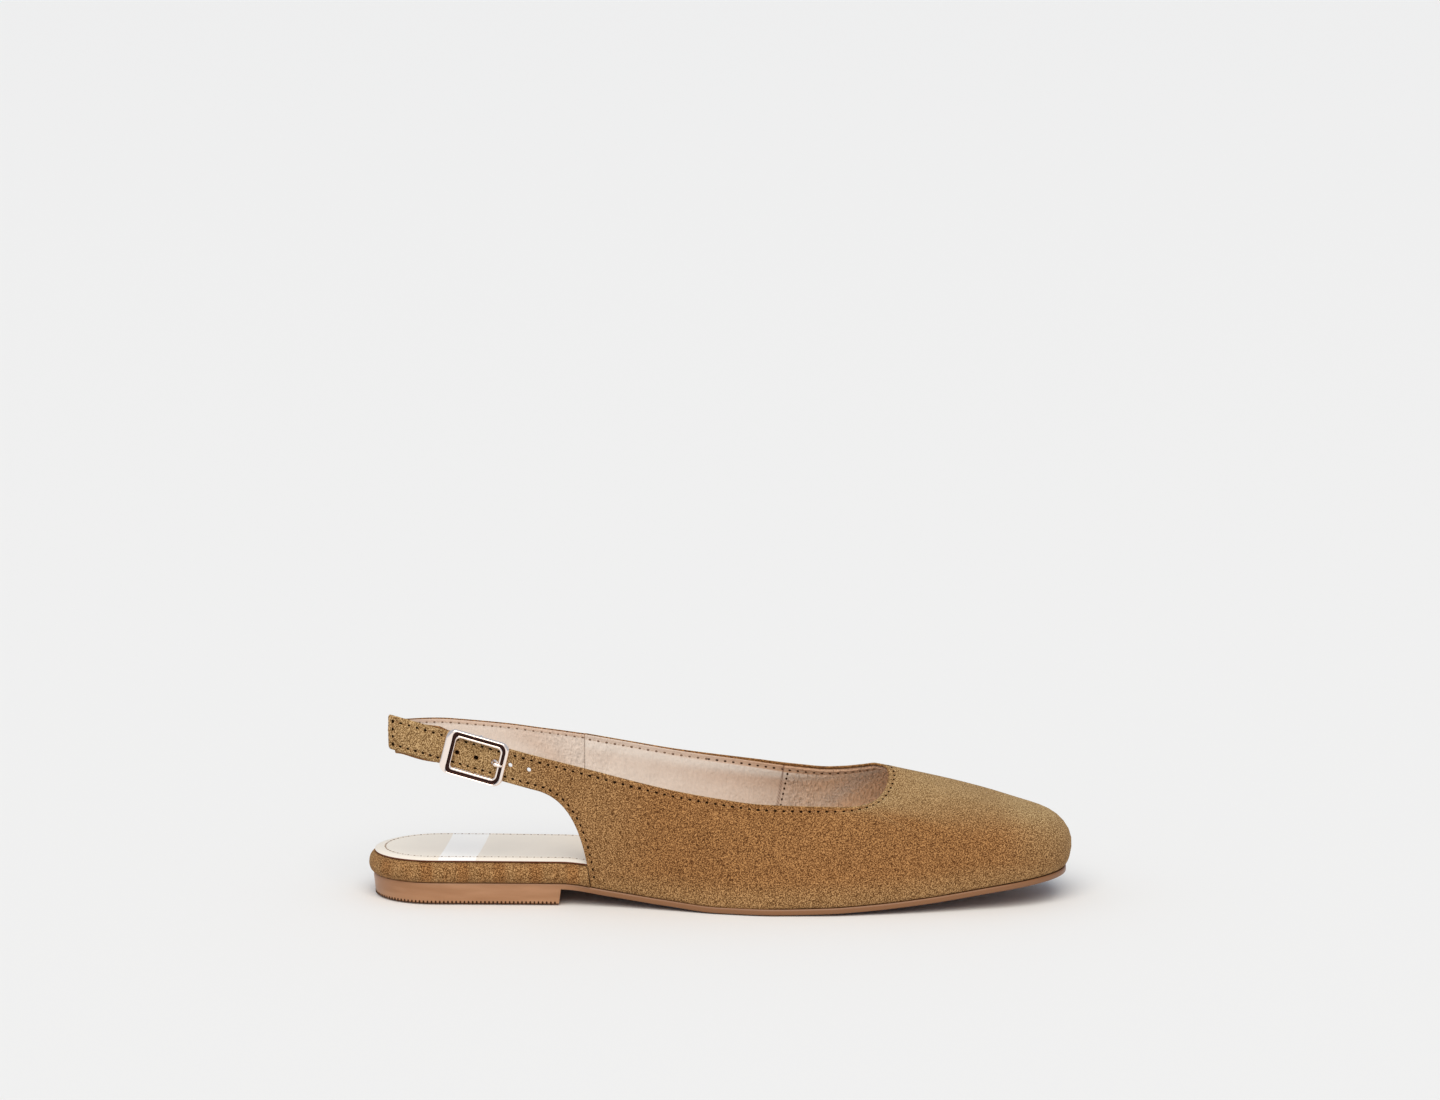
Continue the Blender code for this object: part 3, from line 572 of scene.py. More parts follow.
@dataclass(frozen=True)
class Last:
    """The foot form that the whole shoe is built round."""

    sole_length: float = 255.6
    heel_back: float = -128.0
    ball_width: float = 77.4
    instep: float = 47.0
    heel_rise: float = 5.7
    heel_arc: float = 24.5
    toe_arc: float = 31.6
    heel_squareness: float = 2.1
    toe_squareness: float = 2.9
    sole_thick: float = 2.6
    gap: float = 0.3
    stations: tuple[Station, ...] = (
        Station(0.0, -25.8, 36.2, 5.7, 7.2),
        Station(11.0, -26.6, 37.0, 5.7, 7.2),
        Station(27.4, -28.2, 34.6, 5.7, 7.1),
        Station(34.4, -31.8, 32.2, 3.65, 7.5),
        Station(42.3, -38.5, 30.9, 1.4, 5.2),
        Station(50.1, -46.3, 33.3, 0.0, 3.4),
        Station(57.9, -50.6, 41.3, 0.0, 2.2),
        Station(64.9, -50.6, 47.8, 0.35, 2.0),
        Station(71.6, -48.3, 49.4, 1.25, 2.0),
        Station(79.4, -43.9, 46.9, 3.0, 2.0),
        Station(89.2, -36.2, 40.3, 6.0, 2.0),
        Station(100.0, -27.1, 32.3, 9.0, 2.0),
    )

    @property
    def heel_x(self) -> float:
        """Station where the heel's round ends."""
        return self.heel_back + self.heel_arc

    @property
    def toe_x(self) -> float:
        """Station where the toe's round starts."""
        return self.heel_back + self.sole_length - self.toe_arc

    def along(self, percent: Any) -> Array:
        """X of a place given in per cent of the sole's length."""
        return self.heel_back + self.sole_length * np.asarray(percent, float) / 100.0

    def at(self, name: str, x: Any) -> Array:
        """A column of the stations' table at x."""
        keys = self.along([station.along for station in self.stations])
        return curve_through(keys, [getattr(station, name) for station in self.stations], x)

    def lifted(self, x: Any, rise: float) -> Array:
        """Height of a level that lies a rise above the sole's lower face."""
        return self.at("lift", x) + rise

    def sole_top(self, x: Any) -> Array:
        """Height of the sole's upper face."""
        return self.lifted(x, self.sole_thick)

    def bed_at(self, x: Any, share: float = 1.0) -> Array:
        """Height of a share of the footbed's thickness above the sole."""
        return self.sole_top(x) + self.gap + share * self.at("bed", x)

    @staticmethod
    def superellipse(angle: Array, power: float) -> tuple[Array, Array]:
        """Quarter of a unit superellipse.

        Args:
            angle: angles from its axis.
            power: 2 for an ellipse, more for a squarer round.

        Returns:
            Distances along its axis and across it.
        """
        along, across = np.abs(np.cos(angle)), np.abs(np.sin(angle))
        reach = (along ** power + across ** power) ** (-1.0 / power)
        return along * reach, across * reach

    def rim(self, turn: Any, grow: Any = 0.0) -> tuple[Array, Array]:
        """Plan outline, from the back of the heel (0) by the toe tip (3) to the heel again (6).

        Args:
            turn: places round the outline; 1 to 2 is the lateral side and 4 to 5 the medial side.
            grow: how far the outline is moved outwards.

        Returns:
            X and Y of the places.
        """
        turn = np.asarray(turn, float)
        side = np.where(turn <= 3.0, -1.0, 1.0)
        way = np.where(turn <= 3.0, turn, 6.0 - turn)
        back, across_heel = self.superellipse(np.clip(way, 0, 1) * pi / 2, self.heel_squareness)
        across_toe, front = self.superellipse(np.clip(way - 2, 0, 1) * pi / 2, self.toe_squareness)
        x = self.heel_x + np.clip(way - 1, 0, 1) * (self.toe_x - self.heel_x)
        x = np.where(way < 1, self.heel_x - (self.heel_arc + grow) * back, x)
        x = np.where(way > 2, self.toe_x + (self.toe_arc + grow) * front, x)
        closing = np.where(way < 1, across_heel, np.where(way > 2, across_toe, 1.0))
        lateral = self.at("lateral", x) * self.ball_width / 100.0
        medial = self.at("medial", x) * self.ball_width / 100.0
        half = (medial - lateral) / 2.0 + grow
        return x, (medial + lateral) / 2.0 + side * half * closing

    def turn_at(self, x: Any, side: Side = Side.LATERAL) -> Any:
        """Turn of the outline's long stretch at station x."""
        turn = 1.0 + (x - self.heel_x) / (self.toe_x - self.heel_x)
        return turn if side is Side.LATERAL else 6.0 - turn


@contextmanager
def edited(mesh: bpy.types.Mesh) -> Iterator[bmesh.types.BMesh]:
    """Opens a mesh for changes, then turns its faces outwards.

    Args:
        mesh: the mesh.

    Yields:
        Its form for changes.
    """
    bm = bmesh.new()
    bm.from_mesh(mesh)
    yield bm
    bmesh.ops.recalc_face_normals(bm, faces=bm.faces)
    bm.to_mesh(mesh)
    bm.free()


def linked(name: str, data: bpy.types.ID) -> Piece:
    """New object of the scene for a mesh, a lamp or a lens.

    Args:
        name: the object's name.
        data: what it shows.

    Returns:
        The new object.
    """
    made = bpy.data.objects.new(name, data)
    bpy.context.scene.collection.objects.link(made)
    return made


def ring_faces(rings: int, around: int, closed: bool = False) -> list[tuple[int, ...]]:
    """Faces between closed rings of points that follow each other.

    Args:
        rings: number of rings.
        around: points in each ring.
        closed: whether the last ring meets the first.

    Returns:
        Corner numbers of the faces, ring by ring.
    """
    faces = []
    for i in range(rings if closed else rings - 1):
        near, far = i * around, (i + 1) % rings * around
        for j in range(around):
            k = (j + 1) % around
            faces.append((near + j, near + k, far + k, far + j))
    return faces


def new_object(name: str, points: Any = (), faces: Sequence[Sequence[int]] = (),
               finishes: Sequence[Finish] = (), weld: bool = False) -> Piece:
    """Makes a smooth mesh object at the origin, with its faces turned outwards.

    Args:
        name: the piece's name.
        points: vertex places in millimetres.
        faces: corner numbers of each face.
        finishes: finishes of the object's slots.
        weld: merge points that coincide.

    Returns:
        The new object.
    """
    mesh = bpy.data.meshes.new(name)
    mesh.from_pydata((np.asarray(points, float) * MM).tolist(), [], faces)
    with edited(mesh) as bm:
        if weld:
            bmesh.ops.remove_doubles(bm, verts=bm.verts, dist=WELD * MM)
    mesh.shade_smooth()
    for finish in finishes:
        mesh.materials.append(material_of(finish))
    return linked(name, mesh)


def set_attribute(piece: Piece, name: str, values: Array) -> None:
    """Writes one number, or one vector, for each vertex as a mesh attribute.

    Args:
        piece: object whose mesh gets the attribute.
        name: the attribute's name.
        values: an array with one row for each vertex.
    """
    kind, field = ("FLOAT", "value") if values.ndim == 1 else ("FLOAT_VECTOR", "vector")
    attribute = piece.data.attributes.new(name, kind, "POINT")
    attribute.data.foreach_set(field, values.astype(np.float32).ravel())


def apply_modifiers(piece: Piece) -> None:
    """Replaces a piece's mesh by what its modifiers make of it.

    Args:
        piece: object that keeps its name and loses its modifiers.
    """
    bpy.context.view_layer.update()
    graph = bpy.context.evaluated_depsgraph_get()
    mesh = bpy.data.meshes.new_from_object(piece.evaluated_get(graph), preserve_all_data_layers=True,
                                           depsgraph=graph)
    old = piece.data
    piece.modifiers.clear()
    piece.data = mesh
    bpy.data.meshes.remove(old)
    mesh.name = piece.name


def cut(piece: Piece, cutter: Piece) -> None:
    """Cuts a closed piece with another object, which is then removed.

    Args:
        piece: object that is cut.
        cutter: closed object that is taken away from it.
    """
    change = piece.modifiers.new("cut", "BOOLEAN")
    change.operation = "DIFFERENCE"
    change.solver = "EXACT"
    change.object = cutter
    apply_modifiers(piece)
    bpy.data.objects.remove(cutter)


def rods(name: str, length: float, sides: int, ends: Sequence[tuple[float, Matrix]]) -> Piece:
    """Round cutters, joined in one object.

    Args:
        name: the object's name.
        length: length of a cutter in millimetres.
        sides: number of its sides.
        ends: radius in millimetres and placement of each cutter.

    Returns:
        The new object.
    """
    made = new_object(name)
    with edited(made.data) as bm:
        for radius, place in ends:
            bmesh.ops.create_cone(bm, cap_ends=True, segments=sides, radius1=radius * MM,
                                  radius2=radius * MM, depth=length * MM, matrix=place)
    return made


def place_piece(piece: Piece, slot: Slot, *nodes: str) -> None:
    """Lets a finished piece ride on the shoe and stand for its solids.

    Args:
        piece: the finished object.
        slot: material slot of the record for the piece's finish; not used.
        nodes: solids that it stands for.
    """
    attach(piece, BODY)
    if nodes:
        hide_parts(*nodes)
    log.info("%s: %d faces", piece.name, len(piece.data.polygons))


@dataclass
class SheetGrid:
    """A grid of points over a sheet of leather: columns run from its foot to its top edge."""

    points: Array
    flip: bool = False

    @cached_property
    def normals(self) -> Array:
        """Unit normals out of the sheet's face."""
        normal = unit(np.cross(np.gradient(self.points, axis=0), np.gradient(self.points, axis=1)))
        return -normal if self.flip else normal

    @cached_property
    def from_foot(self) -> Array:
        """Distance of each point from its column's foot."""
        return run_along(self.points.swapaxes(0, 1)).T

    @cached_property
    def from_top(self) -> Array:
        """Distance of each point from its column's top."""
        return self.from_foot[:, -1:] - self.from_foot

    @cached_property
    def from_start(self) -> Array:
        """Distance of each point from the first column, along its row."""
        return run_along(self.points)

    def moved(self, distance: Any) -> "SheetGrid":
        """The grid moved along its normals by one distance, or by one for each point."""
        distance = np.broadcast_to(distance, self.points.shape[:2])[..., None]
        return SheetGrid(self.points + self.normals * distance, self.flip)

    def trimmed(self, top: Any) -> "SheetGrid":
        """The grid with its columns ended short of the top edge.

        Args:
            top: how far below the top edge they end, one number or one for each column.

        Returns:
            The shortened grid.
        """
        length = self.from_foot[:, -1:]
        wanted = self.from_foot * (length - np.reshape(top, (-1, 1))) / length
        columns = [read_line(*column) for column in zip(wanted, self.from_foot, self.points)]
        return SheetGrid(np.array(columns), self.flip)

    def line_along(self, columns: Array, from_top: Any = None, from_foot: Any = None) -> tuple[Array, Array]:
        """A line along the sheet at a distance from its top edge or its foot.

        Args:
            columns: numbers of the columns that it crosses.
            from_top: distance below the top edge, one number or one for each column.
            from_foot: distance above the foot, where from_top isn't given.

        Returns:
            Points of the line, and the face's normals there.
        """
        known, wanted, order = self.from_foot, from_foot, slice(None)
        if from_top is not None:
            known, wanted, order = self.from_top[:, ::-1], from_top, slice(None, None, -1)
        places, facing = [], []
        for column, distance in zip(columns, np.broadcast_to(wanted, len(columns))):
            places.append(read_line(distance, known[column], self.points[column][order]))
            facing.append(read_line(distance, known[column], self.normals[column][order]))
        return np.array(places), unit(np.array(facing))


@dataclass
class ThickSheet:
    """A closed sheet of leather between the points of two grids, with rounded edges."""

    face: Array
    back: Array
    bulge: float
    edge_steps: int = 4

    @cached_property
    def border(self) -> list[tuple[int, int]]:
        """Border of the grids.

        Returns:
            Column and row of its places, in order round the sheet.
        """
        m, n = self.face.shape[:2]
        loop = [(i, 0) for i in range(m - 1)]
        loop += [(m - 1, j) for j in range(n - 1)]
        loop += [(i, n - 1) for i in range(m - 1, 0, -1)]
        return loop + [(0, j) for j in range(n - 1, 0, -1)]

    def outwards(self, i: int, j: int) -> Array:
        """Direction out of the sheet's edge.

        Args:
            i: column of a border place.
            j: its row.

        Returns:
            The unit direction.
        """
        m, n = self.face.shape[:2]
        here = self.face[i, j]
        out = np.zeros(3)
        if j in (0, n - 1):
            out = out + unit(here - self.face[i, 1 if j == 0 else n - 2])
        if i in (0, m - 1):
            out = out + unit(here - self.face[1 if i == 0 else m - 2, j])
        return unit(out)

    def build(self, name: str, finish: Finish, cutter: Piece,
              marks: dict[str, Array] | None = None) -> Piece:
        """Makes the sheet's mesh and opens its holes.

        Args:
            name: the piece's name.
            finish: its finish.
            cutter: what its holes are cut with.
            marks: a number for each grid point, by the name of its mesh attribute.

        Returns:
            The new object.
        """
        m, n = self.face.shape[:2]
        size, steps = m * n, self.edge_steps - 1
        number = np.arange(size).reshape(m, n)
        quads = np.stack((number[:-1, :-1], number[1:, :-1], number[1:, 1:], number[:-1, 1:]), axis=-1)
        quads = quads.reshape(-1, 4)
        faces = quads.tolist() + (quads[:, ::-1] + size).tolist()
        rim, chains = [], []
        for i, j in self.border:
            here, behind = self.face[i, j], self.back[i, j]
            middle, half = (here + behind) / 2.0, (here - behind) / 2.0
            out = self.outwards(i, j) * self.bulge
            first, corner = 2 * size + len(rim), int(number[i, j])
            chains.append([corner, *range(first, first + steps), corner + size])
            for angle in pi * np.arange(1, self.edge_steps) / self.edge_steps:
                rim.append(middle + half * cos(angle) + out * sin(angle))
        for one, two in zip(chains, chains[1:] + chains[:1]):
            for step in range(steps + 1):
                faces.append([two[step], one[step], one[step + 1], two[step + 1]])
        points = np.concatenate((self.face.reshape(-1, 3), self.back.reshape(-1, 3), rim))
        made = new_object(name, points, faces, [finish])
        for mark, values in (marks or {}).items():
            edge = np.repeat([values[i, j] for i, j in self.border], steps)
            set_attribute(made, mark, np.concatenate((values.ravel(), values.ravel(), edge)))
        cut(made, cutter)
        return made


class Beads:
    """Rows of small rounded bodies set along lines: stitches, needle holes and moulded ribs."""

    def __init__(self) -> None:
        """Builds the node tree that all rows share."""
        self.tree = tree = bpy.data.node_groups.new("bead_row", "GeometryNodeTree")
        self.keys: dict[str, str] = {}
        kinds = {"Geometry": "Geometry", "Length": "Float", "Width": "Float", "Height": "Float",
                 "Variation": "Float", "Seed": "Int", "Finish": "Material"}
        for name, kind in kinds.items():
            socket = tree.interface.new_socket(name, in_out="INPUT", socket_type=f"NodeSocket{kind}")
            self.keys[name] = socket.identifier
        tree.interface.new_socket("Geometry", in_out="OUTPUT", socket_type="NodeSocketGeometry")
        add = partial(add_node, tree)
        given = add("NodeGroupInput").outputs
        points = add("GeometryNodeMeshToPoints", {"Mesh": given["Geometry"]})
        along, out = (add("GeometryNodeInputNamedAttribute", {"Name": name}, data_type="FLOAT_VECTOR")
                      for name in ("bead_along", "bead_out"))
        turned = add("FunctionNodeAlignRotationToVector", {"Vector": along}, axis="X")
        seated = add("FunctionNodeAlignRotationToVector", {"Rotation": turned, "Vector": out},
                     axis="Z", pivot_axis="X")
        size = add("ShaderNodeCombineXYZ", {0: given["Length"], 1: given["Width"], 2: given["Height"]})
        least, most = (add("ShaderNodeMath", {0: 1.0, 1: given["Variation"]}, operation=sign)
                       for sign in ("SUBTRACT", "ADD"))
        chance = add("FunctionNodeRandomValue", {"Min": least, "Max": most, "Seed": given["Seed"]},
                     data_type="FLOAT")
        sized = add("ShaderNodeVectorMath", {0: size, "Scale": chance}, operation="SCALE")
        ball = add("GeometryNodeMeshUVSphere", {"Segments": 10, "Rings": 6, "Radius": 0.5})
        smooth = add("GeometryNodeSetShadeSmooth", {"Geometry": ball})
        spread = add("GeometryNodeInstanceOnPoints", {
            "Points": points, "Instance": smooth, "Rotation": seated, "Scale": sized})
        real = add("GeometryNodeRealizeInstances", {"Geometry": spread})
        dressed = add("GeometryNodeSetMaterial", {"Geometry": real, "Material": given["Finish"]})
        add("NodeGroupOutput", {"Geometry": dressed})

    def build(self, name: str, seats: Sequence[Array], size: Sequence[float], finish: Finish,
              variation: float = 0.08, seed: int = 7) -> Piece:
        """Makes one object of beads.

        Args:
            name: the piece's name.
            seats: places in millimetres, directions along and directions out, one row for each bead.
            size: length, width and height of a bead in millimetres.
            finish: the beads' finish.
            variation: share by which their sizes differ.
            seed: seed of those differences.

        Returns:
            The new object, a plain mesh.
        """
        places, along, out = seats
        made = new_object(name, places)
        set_attribute(made, "bead_along", along)
        set_attribute(made, "bead_out", out)
        rows = made.modifiers.new("beads", "NODES")
        rows.node_group = self.tree
        length, width, height = (part * MM for part in size)
        values = {"Length": length, "Width": width, "Height": height, "Variation": variation, "Seed": seed,
                  "Finish": material_of(finish)}
        for key, value in values.items():
            rows[self.keys[key]] = value
        apply_modifiers(made)
        return made


@dataclass
class StitchRow:
    """One row of lock stitches along a line on a sheet."""

    points: Array
    normals: Array
    pitch: float = 3.1
    reach: float = 0.4

    def seats(self, holes: bool, sink: float) -> tuple[Array, Array, Array]:
        """Places of the row's threads, or of the needle holes between them.

        Args:
            holes: whether the needle holes are wanted.
            sink: how far the beads' middles lie under the face.

        Returns:
            Places, directions along the row and directions out of the face.
        """
        run = run_along(self.points)
        count = max(1, int(round(run[-1] / self.pitch)))
        at = (np.arange(count + 1) if holes else np.arange(count) + 0.5) * run[-1] / count
        out = unit(read_line(at, run, self.normals))
        before, here, after = (read_line(at + way, run, self.points)
                               for way in (-self.reach, 0.0, self.reach))
        return here - out * sink, unit(after - before), out


@dataclass(frozen=True)
class Stitching:
    """A kind of stitching: its finishes, the sizes of thread and needle hole, and how deep they sit."""

    thread: Finish = THREAD
    hole: Finish = NEEDLE_HOLE
    thread_size: Triple = (2.3, 0.5, 0.36)
    hole_size: Triple = (1.25, 0.9, 0.5)
    thread_sink: float = 0.12
    hole_sink: float = 0.05

    def build(self, name: str, rows: Sequence[StitchRow], beads: Beads, slot: Slot) -> None:
        """Makes the threads and the needle holes of some rows.

        Args:
            name: start of the pieces' names.
            rows: the rows.
            beads: the maker of beads.
            slot: material slot handed to place_piece with each piece.
        """
        kinds = (("thread", False, self.thread_size, self.thread_sink, self.thread),
                 ("needle_holes", True, self.hole_size, self.hole_sink, self.hole))
        for kind, holes, size, sink, finish in kinds:
            seats = zip(*(row.seats(holes, sink) for row in rows))
            joined = [np.concatenate(part) for part in seats]
            place_piece(beads.build(f"{name}_{kind}", joined, size, finish), slot)


FINE_THREAD = (1.7, 0.4, 0.3)
LINING_STITCHING = Stitching(PALE_THREAD, LINING_HOLE, FINE_THREAD, (1.1, 0.8, 0.36), 0.1, 0.02)
FAINT_STITCHING = Stitching(PALE_THREAD, FAINT_HOLE, FINE_THREAD, (1.1, 0.8, 0.36), 0.1, 0.02)
SLING_STITCHING = Stitching(PALE_THREAD, FAINT_HOLE, FINE_THREAD, (1.0, 0.62, 0.34), 0.1, 0.02)
SOCK_STITCHING = Stitching(PALE_THREAD, FAINT_HOLE, (2.1, 0.6, 0.34), (0.9, 0.75, 0.3), 0.1, 0.02)


@dataclass(frozen=True)
class UpperForm:
    """Outer face of the upper: lateral strap, quarters and vamp, by sections round its foot."""

    last: Last
    wall: float = 1.8
    quarter_turn: float = 1.283
    wall_belly: float = 1.4
    lateral_upright: Pair = (-44.0, -66.0)
    medial_upright: Pair = (-36.0, -51.0)
    vamp_rounds: Pair = (-8.0, 34.0)
    strap_height: float = 12.2
    edge_from_strap: Pair = (13.0, -2.9)
    edge_to_feather: Pair = (-2.2, 18.6)
    seam_on_edge: float = 0.645
    slope_step: float = 0.01
    sections: tuple[Section, ...] = (
        Section(-1.0, 2.9, -20.5, 148.1, 0.0, 4.0, 0.0, 4.0),
        Section(0.0, 23.9, -30.4, 118.3, 0.0, 4.0, 0.0, 4.0),
        Section(0.64, 30.5, -32.0, 109.6, 0.6, 9.0, 0.3, 9.0),
        Section(1.283, 39.1, -34.1, 98.1, 1.2, 13.0, 0.5, 13.0),
        Section(1.393, 43.8, -35.4, 92.6, 1.4, 13.0, 0.8, 12.5),
        Section(1.519, 50.1, -36.6, 86.8, 1.8, 13.0, 1.5, 12.0),
        Section(1.619, 55.6, -37.1, 82.8, 2.2, 13.0, 2.2, 11.0),
        Section(1.719, 60.6, -36.8, 81.5, 2.4, 13.0, 3.2, 10.0),
        Section(1.820, 64.9, -35.7, 80.9, 2.6, 13.5, 5.0, 9.0),
        Section(1.920, 68.3, -33.1, 80.2, 2.8, 14.0, 8.0, 7.5),
        Section(2.00, 70.4, -29.5, 80.6, 4.0, 15.5, 12.0, 5.5),
        Section(2.33, 72.3, -23.0, 82.8, 5.5, 17.0, 21.0, 4.0),
        Section(2.67, 73.7, -12.3, 87.7, 8.5, 18.5, 34.0, 3.5),
        Section(3.00, 74.5, 0.6, 95.5, 10.4, 18.6, 43.7, 8.0),
        Section(3.33, 74.1, 8.4, 99.6, 8.5, 17.8, 38.0, 9.0),
        Section(3.67, 72.7, 15.0, 99.8, 5.5, 17.0, 27.0, 8.5),
        Section(4.00, 70.4, 20.7, 97.0, 4.0, 16.5, 18.0, 7.5),
        Section(4.08, 68.1, 25.5, 94.3, 3.0, 15.5, 13.0, 8.5),
        Section(4.18, 64.8, 30.1, 92.6, 2.6, 15.0, 8.0, 9.5),
        Section(4.281, 60.6, 34.1, 93.4, 2.2, 14.5, 4.5, 11.0),
        Section(4.381, 55.2, 37.0, 96.0, 1.8, 14.0, 2.5, 12.5),
        Section(4.481, 49.3, 38.0, 99.4, 1.4, 14.0, 1.2, 14.0),
        Section(4.607, 43.4, 38.2, 103.6, 1.2, 14.0, 0.8, 14.0),
        Section(4.717, 37.2, 38.1, 109.4, 1.0, 13.0, 0.5, 13.0),
        Section(4.95, 30.3, 37.7, 116.2, 0.6, 9.0, 0.3, 9.0),
    )

    @property
    def end_turn(self) -> float:
        """Turn of the medial seam, where the upper ends."""
        return self.sections[-1].foot

    def at(self, name: str, turn: Any) -> Array:
        """A column of the sections' table at a turn of the foot."""
        return read_table(self.sections, name, turn)

    def topline(self, turn: Any) -> Array:
        """Places of the top edge, one row for each turn of the foot."""
        y, z = self.at("side", turn) * self.last.ball_width, self.at("height", turn) * self.last.instep
        return np.stack((self.last.along(self.at("along", turn)), y / 100.0, z / 100.0), axis=-1)

    def back_edge(self, share: float) -> Array:
        """Concave rear edge of a quarter in side view.

        Args:
            share: 0 at the strap to 1 at the feather line.

        Returns:
            X and z of the place.
        """
        start = self.topline(0.0)[[0, 2]] - (0.0, self.strap_height)
        end_x = float(self.last.rim(self.quarter_turn)[0])
        end = np.array((end_x, float(self.last.bed_at(end_x, 0.0))))
        return cubic(start, start + self.edge_from_strap, end + self.edge_to_feather, end, share)

    @cached_property
    def top_edges(self) -> dict[Side, Array]:
        """Top edges of the two quarters, as rows of x, y and z with rising x."""
        return {Side.LATERAL: self.topline(np.linspace(-1.0, 1.95, 160)).T,
                Side.MEDIAL: self.topline(np.linspace(self.end_turn, 4.05, 120)).T}

    def wall_y(self, x: Array, z: Array, side: Side) -> Array:
        """Outer face of a quarter: y at points of its side view.

        Args:
            x: stations of the points.
            z: heights of the points.
            side: the quarter.

        Returns:
            Their y.
        """
        top_x, top_y, top_z = self.top_edges[side]
        edge_y = np.interp(x, top_x, top_y)
        edge_z = np.interp(x, top_x, top_z)
        foot_y = self.last.rim(self.last.turn_at(x, side))[1]
        foot_z = self.last.bed_at(x, 0.0)
        rise = np.clip((z - foot_z) / (edge_z - foot_z), 0.0, 1.0)
        wall = edge_y + (foot_y - edge_y) * (1.0 - rise) + side.value * self.wall_belly * np.sin(pi * rise)
        upright = self.lateral_upright if side is Side.LATERAL else self.medial_upright
        return wall + (edge_y - wall) * smooth_step(*upright, x)

    def foot(self, turn: float) -> Array:
        """Place of the lower edge.

        Args:
            turn: turn of the foot.

        Returns:
            Its x, y and z.
        """
        corner = 6.0 - self.quarter_turn
        if turn < 0.0:
            return self.topline(turn) - self.strap_height * UP
        if self.quarter_turn <= turn <= corner:
            x, y = self.last.rim(turn)
            return np.array((x, y, self.last.bed_at(x, 0.0)), float)
        side, share = Side.LATERAL, turn / self.quarter_turn
        if turn > corner:
            climb = (turn - corner) / (self.end_turn - corner)
            side, share = Side.MEDIAL, 1.0 - climb * (1.0 - self.seam_on_edge)
        x, z = self.back_edge(share)
        return np.array((x, float(self.wall_y(x, z, side)), z))

    @staticmethod
    def outward(before: Array, after: Array) -> Array:
        """Level direction out of the shoe between two places of an edge."""
        along = after - before
        return unit(np.array((along[1], -along[0], 0.0)))

    def rounded(self, turn: float) -> float:
        """0 on the quarters' ruled walls, 1 on the rounded vamp."""
        stretches = [[self.last.turn_at(x, side) for x in self.vamp_rounds] for side in Side]
        return float(np.prod([smooth_step(*stretch, turn) for stretch in stretches]))

    def line(self, turn: float, shares: Array) -> Array:
        """One line of the outer face, from its foot to its top edge.

        Args:
            turn: place of its foot.
            shares: places along the line, from 0 to 1.

        Returns:
            One point for each share.
        """
        foot, top = self.foot(turn), self.topline(turn)
        rounded = self.rounded(turn)
        lead, trail = foot + (top - foot) / 3.0, top - (top - foot) / 3.0
        if rounded > 0.0:
            near, far = turn - self.slope_step, turn + self.slope_step
            foot_out = self.outward(self.foot(near), self.foot(far))
            top_out = self.outward(self.topline(near), self.topline(far))
            round_lead = foot + self.at("flare", turn) * foot_out + self.at("rise", turn) * UP
            round_trail = top + self.at("reach", turn) * top_out - self.at("drop", turn) * UP
            lead = lead + (round_lead - lead) * rounded
            trail = trail + (round_trail - trail) * rounded
        line = cubic(foot, lead, trail, top, shares[:, None])
        if rounded < 1.0:
            side = Side.LATERAL if turn < 3.0 else Side.MEDIAL
            ruled = self.wall_y(line[:, 0], line[:, 2], side)
            line[:, 1] = ruled + (line[:, 1] - ruled) * rounded
        return line


@dataclass(frozen=True)
class StrapFrame:
    """Directions of the buckled strap at the buckle: along it, up across it and out of it."""

    form: UpperForm
    buckle_x: float = -88.9
    buckle_drop: float = 0.4

    def face(self, x: float) -> Array:
        """A point on the middle line of the lateral strap's outer face."""
        tip, root = self.form.topline(np.array((-1.0, 0.0))) - self.form.strap_height / 2.0 * UP
        return tip + (root - tip) * (x - tip[0]) / (root[0] - tip[0])

    @cached_property
    def origin(self) -> Array:
        """The buckle's middle on the strap's face."""
        return self.face(self.buckle_x) - self.buckle_drop * UP

    @cached_property
    def along(self) -> Array:
        """Unit direction along the strap, to the toe."""
        return unit(self.face(self.buckle_x + 1.0) - self.face(self.buckle_x))

    @cached_property
    def out(self) -> Array:
        """Unit direction out of the strap."""
        return unit(np.array((self.along[1], -self.along[0], 0.0)))

    @cached_property
    def up(self) -> Array:
        """Unit direction up across the strap."""
        across = np.cross(self.out, self.along)
        return across if across[2] > 0 else -across

    def point(self, along: Any, up: Any, out: Any) -> Array:
        """Places from distances in the strap's own directions, one row for each."""
        along, up, out = np.broadcast_arrays(np.asarray(along, float), up, out)
        return (self.origin + along[..., None] * self.along + up[..., None] * self.up
                + out[..., None] * self.out)

    def matrix(self, along: float, up: float, out: float) -> Matrix:
        """Placement in metres of a shape drawn with x along the strap, y up across it and z out."""
        turned = Matrix((Vector(self.along), Vector(self.up), Vector(self.out))).transposed().to_4x4()
        return Matrix.Translation(Vector(self.point(along, up, out)) * MM) @ turned


class Hole(NamedTuple):
    """A hole punched in the strap, by its place along and up from the buckle's middle."""

    along: float
    up: float
    radius: float = 0.85


class Crease(NamedTuple):
    """A soft trough in the medial lining, placed in side view."""

    x: float
    z: float
    lean_deg: float
    length: float
    width: float
    depth: float


class Ease(NamedTuple):
    """A share that eases in from one place to another."""

    share: float
    start: float
    full: float

    def at(self, place: Any) -> Array:
        """The share at some places."""
        return self.share * smooth_step(self.start, self.full, place)


